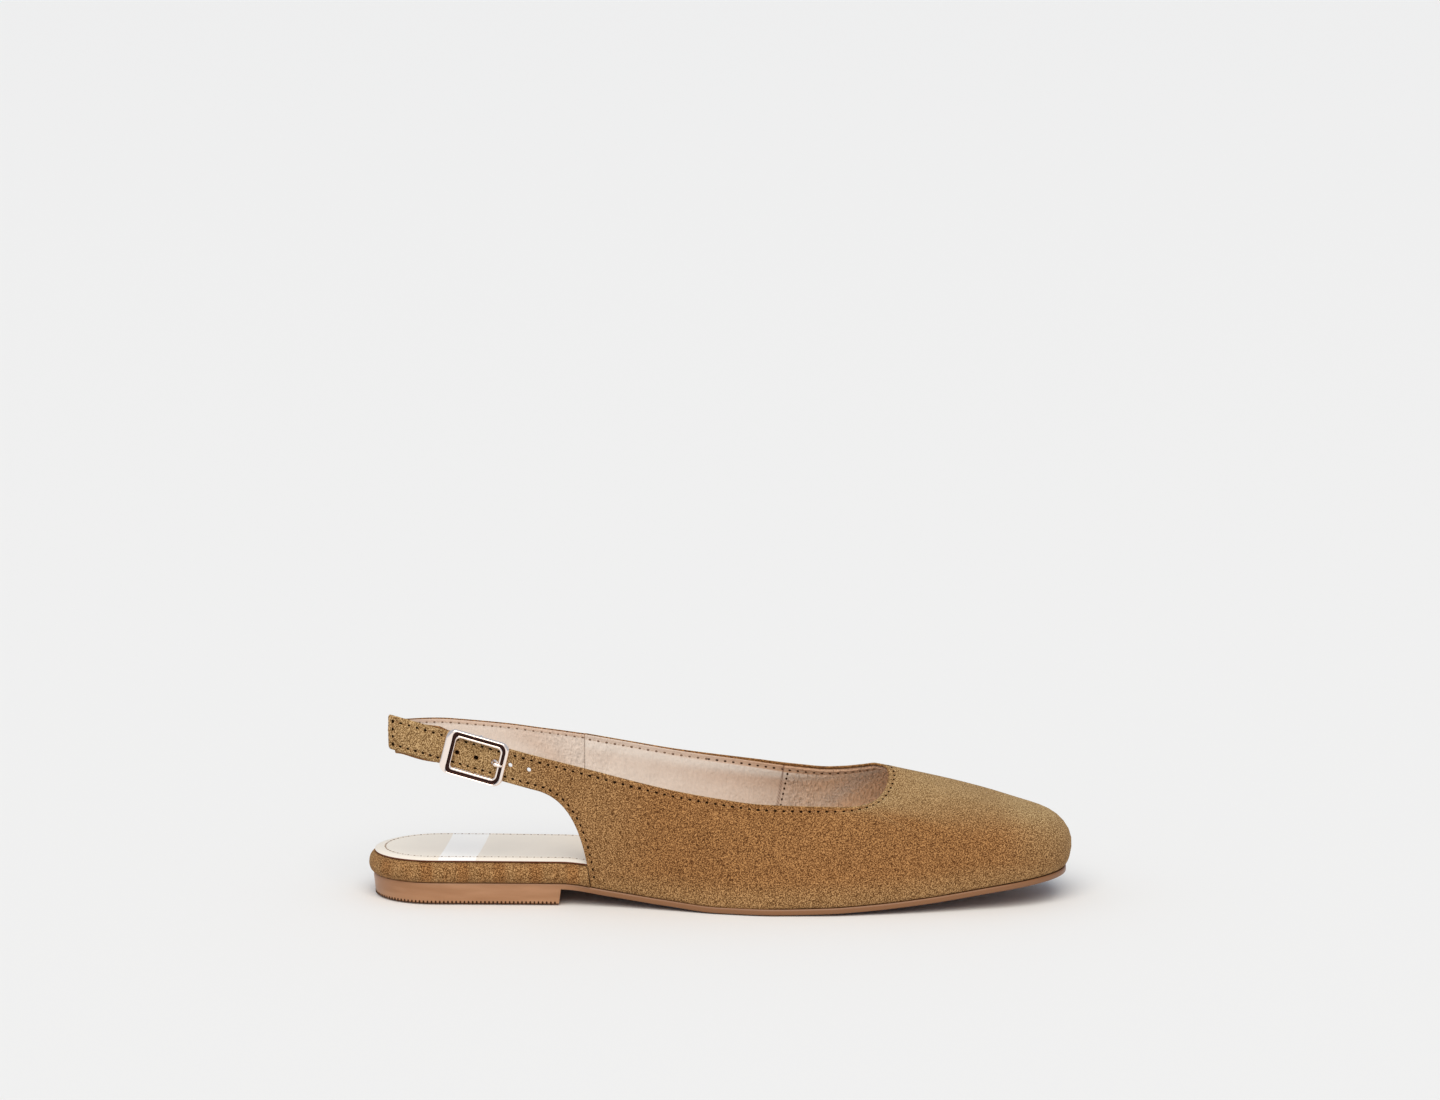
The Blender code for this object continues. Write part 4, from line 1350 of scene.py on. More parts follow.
@dataclass
class Upper:
    """Suede upper with its lining, its stitching and the strap's punched holes."""

    form: UpperForm
    strap: StrapFrame
    beads: Beads
    suede_thick: float = 1.0
    lining_back: float = 1.06
    lining_below_edge: Pair = (0.2, 0.8)
    lining_stitch_below: Pair = (1.75, 2.05)
    ridge_height: float = 0.35
    edge_zone: float = 5.2
    foot_zone: float = 3.4
    tip_corner: float = 0.9
    toe_fill: float = 1.4
    stitch_on_strap: float = 1.75
    stitch_on_quarter: float = 1.85
    stitch_trough: float = 0.2
    trough_width: float = 0.75
    seam_foot: Pair = (21.2, 27.9)
    seam_lean: float = 0.19
    seam_step: float = 0.4
    seam_stitch: float = 1.8
    holes: tuple[Hole, ...] = (
        Hole(-6.8, 0.0), Hole(0.45, 0.0), Hole(7.4, 0.0, 1.3), Hole(13.2, 0.8), Hole(20.2, 1.0))
    roll: float = 0.22
    roll_width: float = 0.45
    foot_tuck: float = 0.45
    foot_tuck_width: float = 0.7
    lining_trough: float = 0.15
    low_pitch: float = 2.9
    seam_pitch: float = 2.3
    middle_row: int = 20
    # Eases of the painted sheen on the strap, at the toe and low on the sides
    strap_nap: tuple[Ease, Ease] = (Ease(0.24, -18.0, -46.0), Ease(0.48, -60.0, -84.0))
    toe_nap: Ease = Ease(1.0, 98.0, 124.0)
    low_nap: Ease = Ease(0.34, 12.0, 1.0)
    # Shares and places of the lining's painted shade and painted light, and of its wrinkles where drawn
    lining_deepens: Ease = Ease(0.48, -60.0, 10.0)
    lining_warms: Ease = Ease(1.0, 18.0, 52.0)
    lining_drawn: tuple[Ease, Ease] = (Ease(0.15, -30.0, -8.0), Ease(0.75, 0.0, 5.0))
    back_drawn: Ease = Ease(0.2, -28.0, -46.0)
    throat_pales: Ease = Ease(0.3, 34.0, 50.0)
    lining_tone: float = 0.24
    tone_below: float = 6.5
    tone_width: float = 4.5
    fold_place: Pair = (43.5, 33.0)
    fold_lean: float = 1.1
    fold_width: float = 5.5
    ridge_below: float = 1.7
    ridge_width: float = 1.9
    waviness: float = 0.1
    toe_fill_turn: float = 3.05
    toe_fill_spread: float = 0.55
    toe_fill_up: float = 20.0
    toe_fill_height: float = 9.0
    creases: tuple[Crease, ...] = (
        Crease(-1.7, 37.5, 70.0, 5.0, 2.2, 0.35),
        Crease(2.6, 36.6, 64.0, 4.0, 1.8, 0.3),
        Crease(-22.3, 37.0, 82.0, 12.0, 4.0, 0.5),
        Crease(8.0, 38.0, 100.0, 9.0, 3.0, 0.4),
        Crease(30.0, 33.0, 98.0, 9.0, 2.4, 0.45),
        Crease(37.0, 33.0, 104.0, 8.0, 2.4, 0.4),
        Crease(-41.0, 44.0, 60.0, 7.0, 2.6, 0.35),
    )

    @cached_property
    def turns(self) -> Array:
        """Foot turns of the columns.

        Returns:
            One turn for each column, from the strap's tip to the medial seam.
        """
        tip = -1.0 + 0.03 * np.linspace(0.0, 1.0, 8, endpoint=False) ** 1.6
        corner = self.form.quarter_turn
        ends = (-0.97, 0.0, corner, 1.6, 1.72, 2.0, 4.0, 4.28, 4.4, 6.0 - corner, self.form.end_turn)
        return np.concatenate((tip, spaced(ends, (55, 63, 42, 70, 37, 180, 37, 70, 42, 27))))

    @cached_property
    def grid(self) -> SheetGrid:
        """The plain outer face.

        Returns:
            A grid with close rows along its edges.
        """
        fine = np.linspace(0.0, 1.0, 160)
        columns = []
        for turn in self.turns:
            line = self.form.line(float(turn), fine)
            run = run_along(line)
            rows = spaced((0.0, self.foot_zone, run[-1] - self.edge_zone, run[-1]), (8, 25, 13))
            columns.append(read_line(rows, run, line))
        points = np.array(columns)
        tip = np.linalg.norm(points[:, self.middle_row] - points[0, self.middle_row], axis=1)
        inset = self.tip_corner - np.sqrt(np.maximum(
            self.tip_corner ** 2 - np.maximum(self.tip_corner - tip, 0.0) ** 2, 0.0))
        middle = (points[:, :1] + points[:, -1:]) / 2.0
        half = np.linalg.norm(points[:, -1] - points[:, 0], axis=1) / 2.0
        keep = 1.0 - np.where(self.turns < 0.0, inset / half, 0.0)
        points = middle + (points - middle) * keep[:, None, None]
        sheet = SheetGrid(points)
        toe = int(np.argmin(np.abs(self.turns - 3.0)))
        return SheetGrid(points, flip=bool(sheet.normals[toe, 5, 0] < 0.0))

    @cached_property
    def open_foot(self) -> Array:
        """1 on columns whose foot is a free edge, 0 where it meets the sole."""
        corner = self.form.quarter_turn
        return np.maximum(smooth_step(corner, corner - 0.04, self.turns),
                          smooth_step(6.0 - corner, 6.0 - corner + 0.02, self.turns))

    @cached_property
    def stitch_from_top(self) -> Array:
        """Distance of the top row of stitches from the edge, for each column."""
        growth = smooth_step(-0.3, 0.9, self.turns)
        return self.stitch_on_strap + (self.stitch_on_quarter - self.stitch_on_strap) * growth

    @cached_property
    def stitch_from_foot(self) -> Array:
        """Distance of the low rows of stitches, measured square to the free lower edge.

        Returns:
            The distance up each column.
        """
        points = self.grid.points
        edge = unit(np.gradient(points[:, 0], axis=0))
        column = unit(points[:, 4] - points[:, 0])
        return self.stitch_on_strap / np.clip(np.linalg.norm(np.cross(edge, column), axis=1), 0.4, 1.0)

    @cached_property
    def forward(self) -> Array:
        """0 on columns at the back of the quarters, 1 at the throat."""
        return smooth_step(-40.0, 36.0, self.grid.points[:, -1, 0])

    @cached_property
    def lining_below(self) -> Array:
        """How far the lining ends below the suede's edge, for each column."""
        return self.lining_below_edge[0] + np.diff(self.lining_below_edge) * self.forward

    @cached_property
    def lining_stitch(self) -> Array:
        """Distance of the lining's stitches below the suede's edge, as a column of the grid."""
        return (self.lining_stitch_below[0] + np.diff(self.lining_stitch_below) * self.forward)[:, None]

    @cached_property
    def stitch_ridge(self) -> Array:
        """Soft ridge of the lining just below its top stitches, for each grid point."""
        return hump(self.grid.from_top - self.lining_stitch - self.ridge_below, self.ridge_width)

    @cached_property
    def suede_face(self) -> SheetGrid:
        """The suede's outer face.

        Returns:
            A grid drawn in along its stitches and edges, and filled out over the toe.
        """
        grid = self.grid
        open_foot = self.open_foot[:, None]
        drawn = self.stitch_trough * hump(grid.from_top - self.stitch_from_top[:, None], self.trough_width)
        drawn = np.maximum(drawn, open_foot * self.stitch_trough * hump(
            grid.from_foot - self.stitch_from_foot[:, None], self.trough_width))
        rolled = self.roll * (np.exp(-grid.from_top / self.roll_width)
                              + open_foot * np.exp(-grid.from_foot / self.roll_width))
        tucked = (1.0 - open_foot) * self.foot_tuck * np.exp(-grid.from_foot / self.foot_tuck_width)
        x, y, z = np.moveaxis(grid.points, 2, 0)
        calm = smooth_step(3.0, 10.0, grid.from_top) * smooth_step(1.0, 9.0, grid.from_foot)
        waves = np.sin(x / 13.0 + 0.8 * np.sin(z / 9.0)) * np.sin(z / 7.5 + y / 11.0 + 0.6)
        round_toe = hump(self.turns - self.toe_fill_turn, self.toe_fill_spread)[:, None]
        full = self.toe_fill * round_toe * hump(grid.from_foot - self.toe_fill_up, self.toe_fill_height)
        return grid.moved(full + self.waviness * calm * waves - drawn - rolled - tucked)

    def brushed(self) -> Array:
        """Painted sheen of paler nap tones on the strap, on the toe's upward faces and low on the sides.

        Returns:
            A share for each grid point.
        """
        x = self.grid.points[..., 0]
        strap = sum(ease.at(x) for ease in self.strap_nap)
        toe = self.toe_nap.at(x) * (0.3 + 0.42 * np.maximum(self.grid.normals[..., 2], 0.0))
        low = self.low_nap.at(self.grid.from_foot) * (1.0 - self.open_foot[:, None])
        return np.maximum(np.maximum(strap, toe), low)

    def seam_offset(self, x: Array, z: Array) -> Array:
        """Distance of points in front of the lining's sewn seam, in side view."""
        foot_x, foot_z = self.seam_foot
        return x - (foot_x + (z - foot_z) * self.seam_lean)

    @cached_property
    def lining_face(self) -> SheetGrid:
        """The lining's inner face.

        Returns:
            A grid with the lapped seam, the creases and the ridge under the stitches.
        """
        grid = self.grid
        x, y, z = np.moveaxis(grid.points, 2, 0)
        ahead = self.seam_offset(x, z)
        lap = self.seam_step * smooth_step(-0.25, 0.25, ahead)
        sunk = np.zeros_like(x)
        for crease in self.creases:
            lean = radians(crease.lean_deg)
            along = (x - crease.x) * cos(lean) + (z - crease.z) * sin(lean)
            across = -(x - crease.x) * sin(lean) + (z - crease.z) * cos(lean)
            sunk += crease.depth * hump(along, crease.length) * hump(across, crease.width)
        sunk = np.where(y > 0.0, sunk, 0.0)
        band = self.lining_trough * hump(grid.from_top - self.lining_stitch, self.trough_width)
        ridge = self.ridge_height * self.forward[:, None] * self.stitch_ridge
        inner = grid.moved(-self.form.wall - lap + sunk + band - ridge).trimmed(self.lining_below)
        return SheetGrid(inner.points, not grid.flip)

    def lining_marks(self) -> dict[str, Array]:
        """Where the lining has its turned edge's tone and painted shade, painted light towards the toe, a
        stain at its seam, and where it is drawn tight.

        Returns:
            A share for each grid point, by the name of its mesh attribute.
        """
        grid = self.grid
        x, _, z = np.moveaxis(grid.points, 2, 0)
        ahead = self.seam_offset(x, z)
        turned = smooth_step(self.lining_stitch + 0.4, self.lining_stitch, grid.from_top)
        # Painted shade: a base share growing from the quarters' back towards the vamp, strongest in a band
        # below the top stitches; the ridge under the stitches gets a painted highlight, and the throat less
        # painted shade, as its own shape shades it
        below = hump(grid.from_top - self.tone_below, self.tone_width)
        shade = (self.lining_tone + self.lining_deepens.at(ahead)) * (0.6 + 0.4 * below)
        shade = shade * (1.0 - 0.85 * self.stitch_ridge) * (1.0 - self.throat_pales.at(x))
        # Painted light warms the lining towards the toe; a slanting fold near the throat gets painted shade
        # by taking it off, and the ridge keeps a little less of it
        fold_x, fold_z = self.fold_place
        fold = hump(x - fold_x - self.fold_lean * (z - fold_z), self.fold_width)
        painted_light = self.lining_warms.at(x) * (1.0 - 0.7 * fold) * (1.0 - 0.2 * self.stitch_ridge)
        return {
            "deep_tone": np.maximum((0.35 + 0.6 * self.forward[:, None]) * turned, shade),
            "toe_tone": painted_light * (1.0 - 0.85 * turned),
            "seam_edge": 0.85 * hump(ahead + 0.1, 0.32),
            "drawn": 0.25 + sum(ease.at(ahead) for ease in self.lining_drawn) + self.back_drawn.at(x),
        }

    def hole_cutter(self) -> Piece:
        """Joined punches for the buckle holes."""
        depth = -self.form.wall / 2.0
        return rods("hole_punches", -6.0 * depth, 24, [
            (hole.radius, self.strap.matrix(hole.along, hole.up, depth)) for hole in self.holes])

    def columns_between(self, low: float, high: float) -> Array:
        """Numbers of the columns whose foot turns lie between two turns."""
        return np.flatnonzero((self.turns >= low) & (self.turns <= high))

    def stitch_rows(self) -> list[StitchRow]:
        """Rows on the suede.

        Returns:
            Rows along the topline, the free lower edges, the strap's tip and the medial seam.
        """
        face, corner, last = self.suede_face, self.form.quarter_turn, self.form.end_turn - 0.012
        from_tip = face.from_start[:, self.middle_row]
        strap = np.flatnonzero(from_tip > self.stitch_on_strap)
        top = strap[self.turns[strap] <= last]
        low = strap[self.turns[strap] <= corner - 0.02]
        rows = [StitchRow(*face.line_along(top, from_top=self.stitch_from_top[top]))]
        for free in (low, self.columns_between(6.0 - corner + 0.02, last)):
            low_row = face.line_along(free, from_foot=self.stitch_from_foot[free])
            rows.append(StitchRow(*low_row, self.low_pitch))
        tip = int(strap[0])
        seam = int(np.argmin(np.abs(from_tip[-1] - from_tip - self.stitch_on_quarter)))
        ends = ((tip, self.stitch_on_strap, self.stitch_on_strap), (seam, 3.0, 3.5))
        for column, foot_gap, top_gap in ends:
            inside = (face.from_foot[column] > foot_gap) & (face.from_top[column] > top_gap)
            rows.append(StitchRow(face.points[column][inside], face.normals[column][inside]))
        return rows

    def lining_top_row(self, low: float, high: float) -> StitchRow:
        """Row on the lining below the topline, between two turns."""
        top = self.columns_between(low, high)
        return StitchRow(*self.lining_face.line_along(
            top, self.lining_stitch[top, 0] - self.lining_below[top]))

    def lining_seam_rows(self) -> list[StitchRow]:
        """Rows beside the lining's lapped seam.

        Returns:
            One row on each side of the foot.
        """
        face, rows = self.lining_face, []
        for low, high in ((self.form.quarter_turn, 2.6), (3.4, 6.0 - self.form.quarter_turn)):
            columns = self.columns_between(low, high)
            points, normals = face.points[columns], face.normals[columns]
            ahead = self.seam_offset(points[..., 0], points[..., 2]) - self.seam_stitch
            places, facing = [], []
            for row in range(4, ahead.shape[1] - 7):
                order = np.argsort(ahead[:, row])
                places.append(read_line(0.0, ahead[order, row], points[order, row]))
                facing.append(read_line(0.0, ahead[order, row], normals[order, row]))
            rows.append(StitchRow(np.array(places), unit(np.array(facing)), self.seam_pitch))
        return rows

    def hole_shade(self) -> None:
        """Darkens the two holes whose backs the folded strap covers."""
        along, up, radius = np.array(self.holes[:2]).T
        size = 2.0 * radius[0] - 0.04
        seats = (self.strap.point(along, up, -0.7 * self.suede_thick), np.tile(self.strap.along, (2, 1)),
                 np.tile(self.strap.out, (2, 1)))
        shade = self.beads.build("strap_hole_shade", seats, (size, size, 0.5), NEEDLE_HOLE, 0.0)
        place_piece(shade, Slot.SUEDE)

    def build(self) -> None:
        """Makes the suede, the lining and their stitching."""
        suede = ThickSheet(self.suede_face.points, self.grid.moved(-self.suede_thick).points, bulge=0.3)
        place_piece(suede.build("upper_suede", TAN_SUEDE, self.hole_cutter(), {"brushed": self.brushed()}),
                    Slot.SUEDE, "upper")
        backing = self.grid.moved(-self.lining_back).trimmed(self.lining_below)
        lining = ThickSheet(self.lining_face.points, backing.points, bulge=0.1)
        lined = lining.build("upper_lining", LINING, self.hole_cutter(), self.lining_marks())
        place_piece(lined, Slot.LINING)
        Stitching().build("upper", self.stitch_rows(), self.beads, Slot.SUEDE)
        front, back = self.lining_top_row(0.1, 4.5), self.lining_top_row(4.5, self.form.end_turn - 0.02)
        LINING_STITCHING.build("lining", [front, *self.lining_seam_rows()], self.beads, Slot.LINING)
        FAINT_STITCHING.build("lining_back", [back], self.beads, Slot.LINING)
        self.hole_shade()


@dataclass
class HeelStrap:
    """Sling strap: from the medial seam round the heel, then folded back round the buckle's bar."""

    form: UpperForm
    strap: StrapFrame
    beads: Beads
    thick: float = 1.5
    lining_thick: float = 0.7
    lining_below: float = 0.25
    turn_centre: Pair = (-99.1, 3.9)
    turn_radius: float = 20.0
    fold_length: float = 13.0
    fold_height: float = 11.4
    pin_radius: float = 0.7
    stitch_from_edge: float = 1.75
    lining_stitch: float = 1.1
    slot_size: Triple = (9.0, 3.0, 8.0)
    slot_along: float = 1.1
    edge_zone: float = 4.2
    leans: Pair = (1.9, 2.5)
    pinches: Pair = (0.1, 0.8)
    edge_tone: Ease = Ease(0.6, 1.5, 1.1)
    seam_drawn: Ease = Ease(0.5, 40.0, 4.0)
    middle_row: int = 12
    first_stitch: float = 1.2
    trough_width: float = 0.75
    suede_trough: float = 0.18
    lining_trough: float = 0.12
    roll: float = 0.2
    roll_width: float = 0.4
    bands: tuple[Band, ...] = (
        Band(0.00, 54.6, 25.6),
        Band(0.03, 54.8, 30.4),
        Band(0.08, 55.2, 35.4),
        Band(0.18, 56.0, 40.2),
        Band(0.33, 57.1, 44.0),
        Band(0.55, 58.8, 46.4),
        Band(1.00, 61.2, 48.7),
        Band(1.27, 62.3, 49.8),
        Band(1.50, 64.2, 52.0),
        Band(1.72, 65.9, 53.7),
        Band(1.92, 65.6, 52.6),
        Band(2.25, 63.6, 51.2),
        Band(3.00, 60.9, 49.5),
    )

    @property
    def fold_radius(self) -> float:
        """Radius of the fold's middle round the bar."""
        return self.pin_radius + self.form.last.gap + self.thick / 2.0

    @property
    def pin_out(self) -> float:
        """Distance of the bar's middle out of the strap's face."""
        return -self.form.wall - self.form.last.gap - self.thick / 2.0 - self.fold_radius

    def path(self) -> tuple[Array, Array]:
        """Plan of the strap's middle, from the medial seam to the bar.

        Returns:
            Run of its stations, and their x and y.
        """
        gap = self.form.last.gap
        centre = np.array(self.turn_centre)
        seam = self.form.topline(self.form.end_turn)[:2] - np.array((gap, self.form.wall / 2.0))
        layer = self.strap.point(0.0, 0.0, -self.form.wall - gap - self.thick / 2.0)[:2]
        along = unit(self.strap.along[:2])
        turn_end = layer + np.dot(centre - layer, along) * along
        radius_end = np.linalg.norm(turn_end - centre)
        to_seam = seam - centre
        start = np.arctan2(to_seam[1], to_seam[0]) + np.arccos(self.turn_radius / np.linalg.norm(to_seam))
        finish = np.arctan2(self.strap.out[1], self.strap.out[0]) + 2 * pi
        turn_start = centre + self.turn_radius * np.array((cos(start), sin(start)))
        straight, swing, end = (np.linspace(0.0, 1.0, 60)[:-1] ** 1.3, np.linspace(0.0, 1.0, 72)[:-1],
                                np.linspace(0.0, 1.0, 16))
        angle = start + (finish - start) * swing
        radius = self.turn_radius + (radius_end - self.turn_radius) * smooth_step(0.5, 1.0, swing)
        plan = np.concatenate((
            seam + (turn_start - seam) * straight[:, None],
            centre + radius[:, None] * np.stack((np.cos(angle), np.sin(angle)), axis=1),
            turn_end + (layer - turn_end) * end[:, None]))
        return np.concatenate((straight, 1.0 + swing, 2.0 + end)), plan

    def ribbon(self) -> tuple[Array, Array, Array, Array]:
        """The strap as a ribbon.

        Returns:
            Middles, half widths, directions across and level normals of its stations.
        """
        runs, plan = self.path()
        top, bottom = (read_table(self.bands, edge, runs) for edge in ("top", "bottom"))
        lean = smooth_step(*self.leans, runs)[:, None]
        angle, u = np.linspace(0.0, pi, 20)[1:], np.linspace(0.0, 1.0, 16)[1:]
        radius, pinch = self.fold_radius, 2.0 * self.fold_radius - self.thick - self.form.last.gap
        along = np.concatenate((radius * np.sin(angle), -self.fold_length * u))
        out = np.concatenate((radius * np.cos(angle), pinch * smooth_step(*self.pinches, u) - radius))
        fold = self.strap.point(along, 0.0, self.pin_out + out)
        middles = np.concatenate((np.column_stack((plan, (top + bottom) / 2.0)), fold))
        halves = np.concatenate(((top - bottom) / 2.0, np.full(len(fold), self.fold_height / 2.0)))
        across = np.concatenate((UP * (1.0 - lean) + self.strap.up * lean,
                                 np.tile(self.strap.up, (len(fold), 1))))
        tangent = unit(np.gradient(middles[:, :2], axis=0))
        normals = np.stack((tangent[:, 1], -tangent[:, 0], np.zeros(len(tangent))), axis=1)
        return middles, halves, across, normals

    def layer(self, out: float) -> SheetGrid:
        """A layer of the strap.

        Args:
            out: its distance out of the strap's middle.

        Returns:
            The layer's grid.
        """
        middles, halves, across, normals = self.ribbon()
        columns = []
        for middle, half, up, normal in zip(middles, halves, across, normals):
            rows = spaced((-half, self.edge_zone - half, half - self.edge_zone, half), (10, 5, 10))
            columns.append(middle + rows[:, None] * up + normal * out)
        grid = SheetGrid(np.array(columns))
        return SheetGrid(grid.points, flip=bool(np.sum(grid.normals[10, 10] * normals[10]) < 0.0))

    def drawn_in(self, grid: SheetGrid, depth: float) -> SheetGrid:
        """A layer drawn in along its two rows of stitches and rolled at its edges.

        Args:
            grid: the plain layer.
            depth: depth of the troughs.

        Returns:
            The layer as sewn.
        """
        edges = (grid.from_top, grid.from_foot)
        trough = np.maximum(*(hump(edge - self.stitch_from_edge, self.trough_width) for edge in edges))
        rolled = self.roll * sum(np.exp(-edge / self.roll_width) for edge in edges)
        return grid.moved(-depth * trough - rolled)

    def slot_cutter(self) -> Piece:
        """Box that opens the fold for the prong.

        Returns:
            The box.
        """
        made = new_object("prong_slot")
        with edited(made.data) as bm:
            bmesh.ops.create_cube(bm, size=1.0)
            bmesh.ops.scale(bm, vec=Vector(self.slot_size) * MM, verts=bm.verts)
            place = self.strap.matrix(self.slot_along, 0.0, self.pin_out)
            bmesh.ops.transform(bm, matrix=place, verts=bm.verts)
        return made

    def build(self) -> None:
        """Makes the strap's suede, its lining and their stitching."""
        half = self.thick / 2.0
        parting = self.lining_thick - half
        face = self.drawn_in(self.layer(half), self.suede_trough)
        suede = ThickSheet(face.points, self.layer(parting + 0.05).points, bulge=0.25)
        place_piece(suede.build("heel_strap_suede", TAN_SUEDE, self.slot_cutter()), Slot.STRAP, "heel_strap")
        plain = self.layer(-half).trimmed(self.lining_below)
        inner = self.drawn_in(SheetGrid(plain.points, not plain.flip), self.lining_trough)
        # Lining tones: the edge band takes the turned edge's tone, the rest a painted shade, deepest some 20
        # mm from the strap's start
        marks = {
            "deep_tone": np.maximum(self.edge_tone.at(inner.from_top),
                                    0.2 + 0.22 * hump(inner.from_start - 20.0, 10.0)),
            "drawn": 0.25 + self.seam_drawn.at(inner.from_start),
        }
        backing = self.layer(parting).trimmed(self.lining_below)
        lining = ThickSheet(inner.points, backing.points, bulge=0.1)
        place_piece(lining.build("heel_strap_lining", LINING, self.slot_cutter(), marks), Slot.LINING)
        run = face.from_start[:, self.middle_row]
        columns = np.flatnonzero((run > self.first_stitch) & (run < run[len(self.path()[0]) - 4]))
        for name, sheet, below, stitching, slot in (
                ("heel_strap", face, self.stitch_from_edge, Stitching(), Slot.STRAP),
                ("heel_strap_lining", inner, self.lining_stitch, SLING_STITCHING, Slot.LINING)):
            rows = [StitchRow(*sheet.line_along(columns, from_top=below)),
                    StitchRow(*sheet.line_along(columns, from_foot=self.stitch_from_edge))]
            stitching.build(name, rows, self.beads, slot)


class ProfilePoint(NamedTuple):
    """A point of the frame's section: shares across back bar, front bar and rail, then its height."""

    back: float
    front: float
    rail: float
    out: float
    groove: bool = False


@dataclass
class Buckle:
    """Plated buckle: a stepped frame with a groove, its centre bar and the prong."""

    strap: StrapFrame
    heel_strap: HeelStrap
    length: float = 24.0
    height: float = 16.6
    corner: float = 3.6
    bar_width: float = 3.1
    back_bar_more: float = 1.0
    rail_width: float = 2.6
    post_up: float = 7.2
    pin_half: float = 6.2
    depth: float = 1.8
    prong_radius: float = 0.7
    prong_hole: float = 7.4
    prong_short: float = 1.1
    rest_depth: float = 0.8
    sharp_deg: float = 50.0
    corner_steps: int = 12
    side_steps: int = 8
    profile: tuple[ProfilePoint, ...] = (
        ProfilePoint(0.04, 0.04, 0.04, 0.36),
        ProfilePoint(0.0, 0.0, 0.0, 0.7),
        ProfilePoint(0.0, 0.0, 0.0, 1.3),
        ProfilePoint(0.05, 0.05, 0.04, 1.74),
        ProfilePoint(0.18, 0.14, 0.08, 2.0),
        ProfilePoint(0.4, 0.26, 0.15, 2.1),
        ProfilePoint(0.58, 0.36, 0.22, 2.02),
        ProfilePoint(0.63, 0.41, 0.26, 1.86, True),
        ProfilePoint(0.65, 0.43, 0.29, 1.3, True),
        ProfilePoint(0.72, 0.52, 0.4, 1.12, True),
        ProfilePoint(0.83, 0.64, 0.58, 1.12, True),
        ProfilePoint(0.88, 0.72, 0.66, 1.2, True),
        ProfilePoint(0.9, 0.75, 0.7, 1.62),
        ProfilePoint(0.925, 0.81, 0.77, 1.76),
        ProfilePoint(0.97, 0.92, 0.91, 1.74),
        ProfilePoint(1.0, 1.0, 1.0, 1.45),
        ProfilePoint(1.0, 1.0, 1.0, 0.6),
        ProfilePoint(0.97, 0.95, 0.95, 0.32),
    )

    @property
    def gap(self) -> float:
        """Clearance between touching pieces."""
        return self.strap.form.last.gap

    def outline(self, length: float, height: float, corner: float) -> Array:
        """Points round a rectangle with round corners, along and up, with points along its sides.

        Args:
            length: size along the strap.
            height: size across it.
            corner: radius of its corners.

        Returns:
            One row for each point.
        """
        points = []
        ends = np.array(((1, 1), (-1, 1), (-1, -1), (1, -1)))
        ends = ends * (length / 2.0 - corner, height / 2.0 - corner)
        for quarter, middle in enumerate(ends):
            for angle in pi / 2 * (quarter + np.arange(self.corner_steps + 1) / self.corner_steps):
                points.append(middle + corner * np.array((cos(angle), sin(angle))))
            target = ends[(quarter + 1) % 4] + points[-1] - middle
            points.extend(np.linspace(points[-1], target, self.side_steps + 1)[1:-1])
        return np.array(points)

    def frame_piece(self) -> Piece:
        """Frame with its groove, as a ring of sections.

        Returns:
            The new object.
        """
        outside = self.outline(self.length, self.height, self.corner)
        inside = self.outline(self.length - 2 * self.bar_width - self.back_bar_more,
                              self.height - 2 * self.rail_width, self.corner - self.rail_width + 0.6)
        inside[:, 0] += self.back_bar_more / 2.0
        ahead = unit(np.roll(outside, -1, axis=0) - np.roll(outside, 1, axis=0))
        on_bar = (ahead[:, 1] ** 2)[:, None]
        rings = []
        for point in self.profile:
            bar = np.where(outside[:, :1] < 0.0, point.back, point.front)
            flat = outside + (inside - outside) * (point.rail + (bar - point.rail) * on_bar)
            rings.append(self.strap.point(flat[:, 0], flat[:, 1], point.out))
        faces = ring_faces(len(rings), len(outside), closed=True)
        made = new_object("buckle_frame_plated", np.concatenate(rings), faces, [ROSE_GOLD, GROOVE], True)
        # The groove's faces take a dark metal, painted as the groove's dark reflection
        dark = np.repeat([point.groove for point in self.profile], len(outside))
        made.data.polygons.foreach_set("material_index", dark.astype(np.int32))
        return made

    def tube(self, name: str, route: Array, radii: Array, sides: int = 20) -> Piece:
        """Round plated bar along a route, closed by its own tapering ends.

        Args:
            name: the piece's name.
            route: points of its middle line.
            radii: its radius at each point.
            sides: points round it.

        Returns:
            The new object.
        """
        tangent = unit(np.gradient(route, axis=0))
        up = self.strap.up
        side = unit(np.cross(tangent, self.strap.along + 0.01 * self.strap.out))
        flat = np.linalg.norm(np.cross(tangent, up), axis=1) > 0.5
        side = np.where(flat[:, None], unit(up - tangent * (tangent @ up)[:, None]), side)
        other = np.cross(tangent, side)
        angle = np.linspace(0.0, 2 * pi, sides, endpoint=False)
        ring = (np.cos(angle)[None, :, None] * side[:, None] + np.sin(angle)[None, :, None] * other[:, None])
        points = (route[:, None] + ring * radii[:, None, None]).reshape(-1, 3)
        faces = ring_faces(len(route), sides)
        faces += [tuple(range(sides)), tuple(range((len(route) - 1) * sides, len(route) * sides))]
        return new_object(name, points, faces, [ROSE_GOLD], weld=True)

    @staticmethod
    def smooth_route(corners: Array, count: int) -> Array:
        """A smooth line through a few corners.

        Args:
            corners: points to pass near; the first and last are met.
            count: number of points wanted.

        Returns:
            Points of a quadratic spline between the middles of the legs.
        """
        middles = (corners[:-1] + corners[1:]) / 2.0
        middles[0], middles[-1] = corners[0], corners[-1]
        u = np.linspace(0.0, 1.0, count)[:-1, None]
        bends = [(1 - u) ** 2 * first + 2 * u * (1 - u) * corner + u * u * final
                 for first, corner, final in zip(middles, corners[1:-1], middles[1:])]
        return np.concatenate((*bends, corners[-1:]))

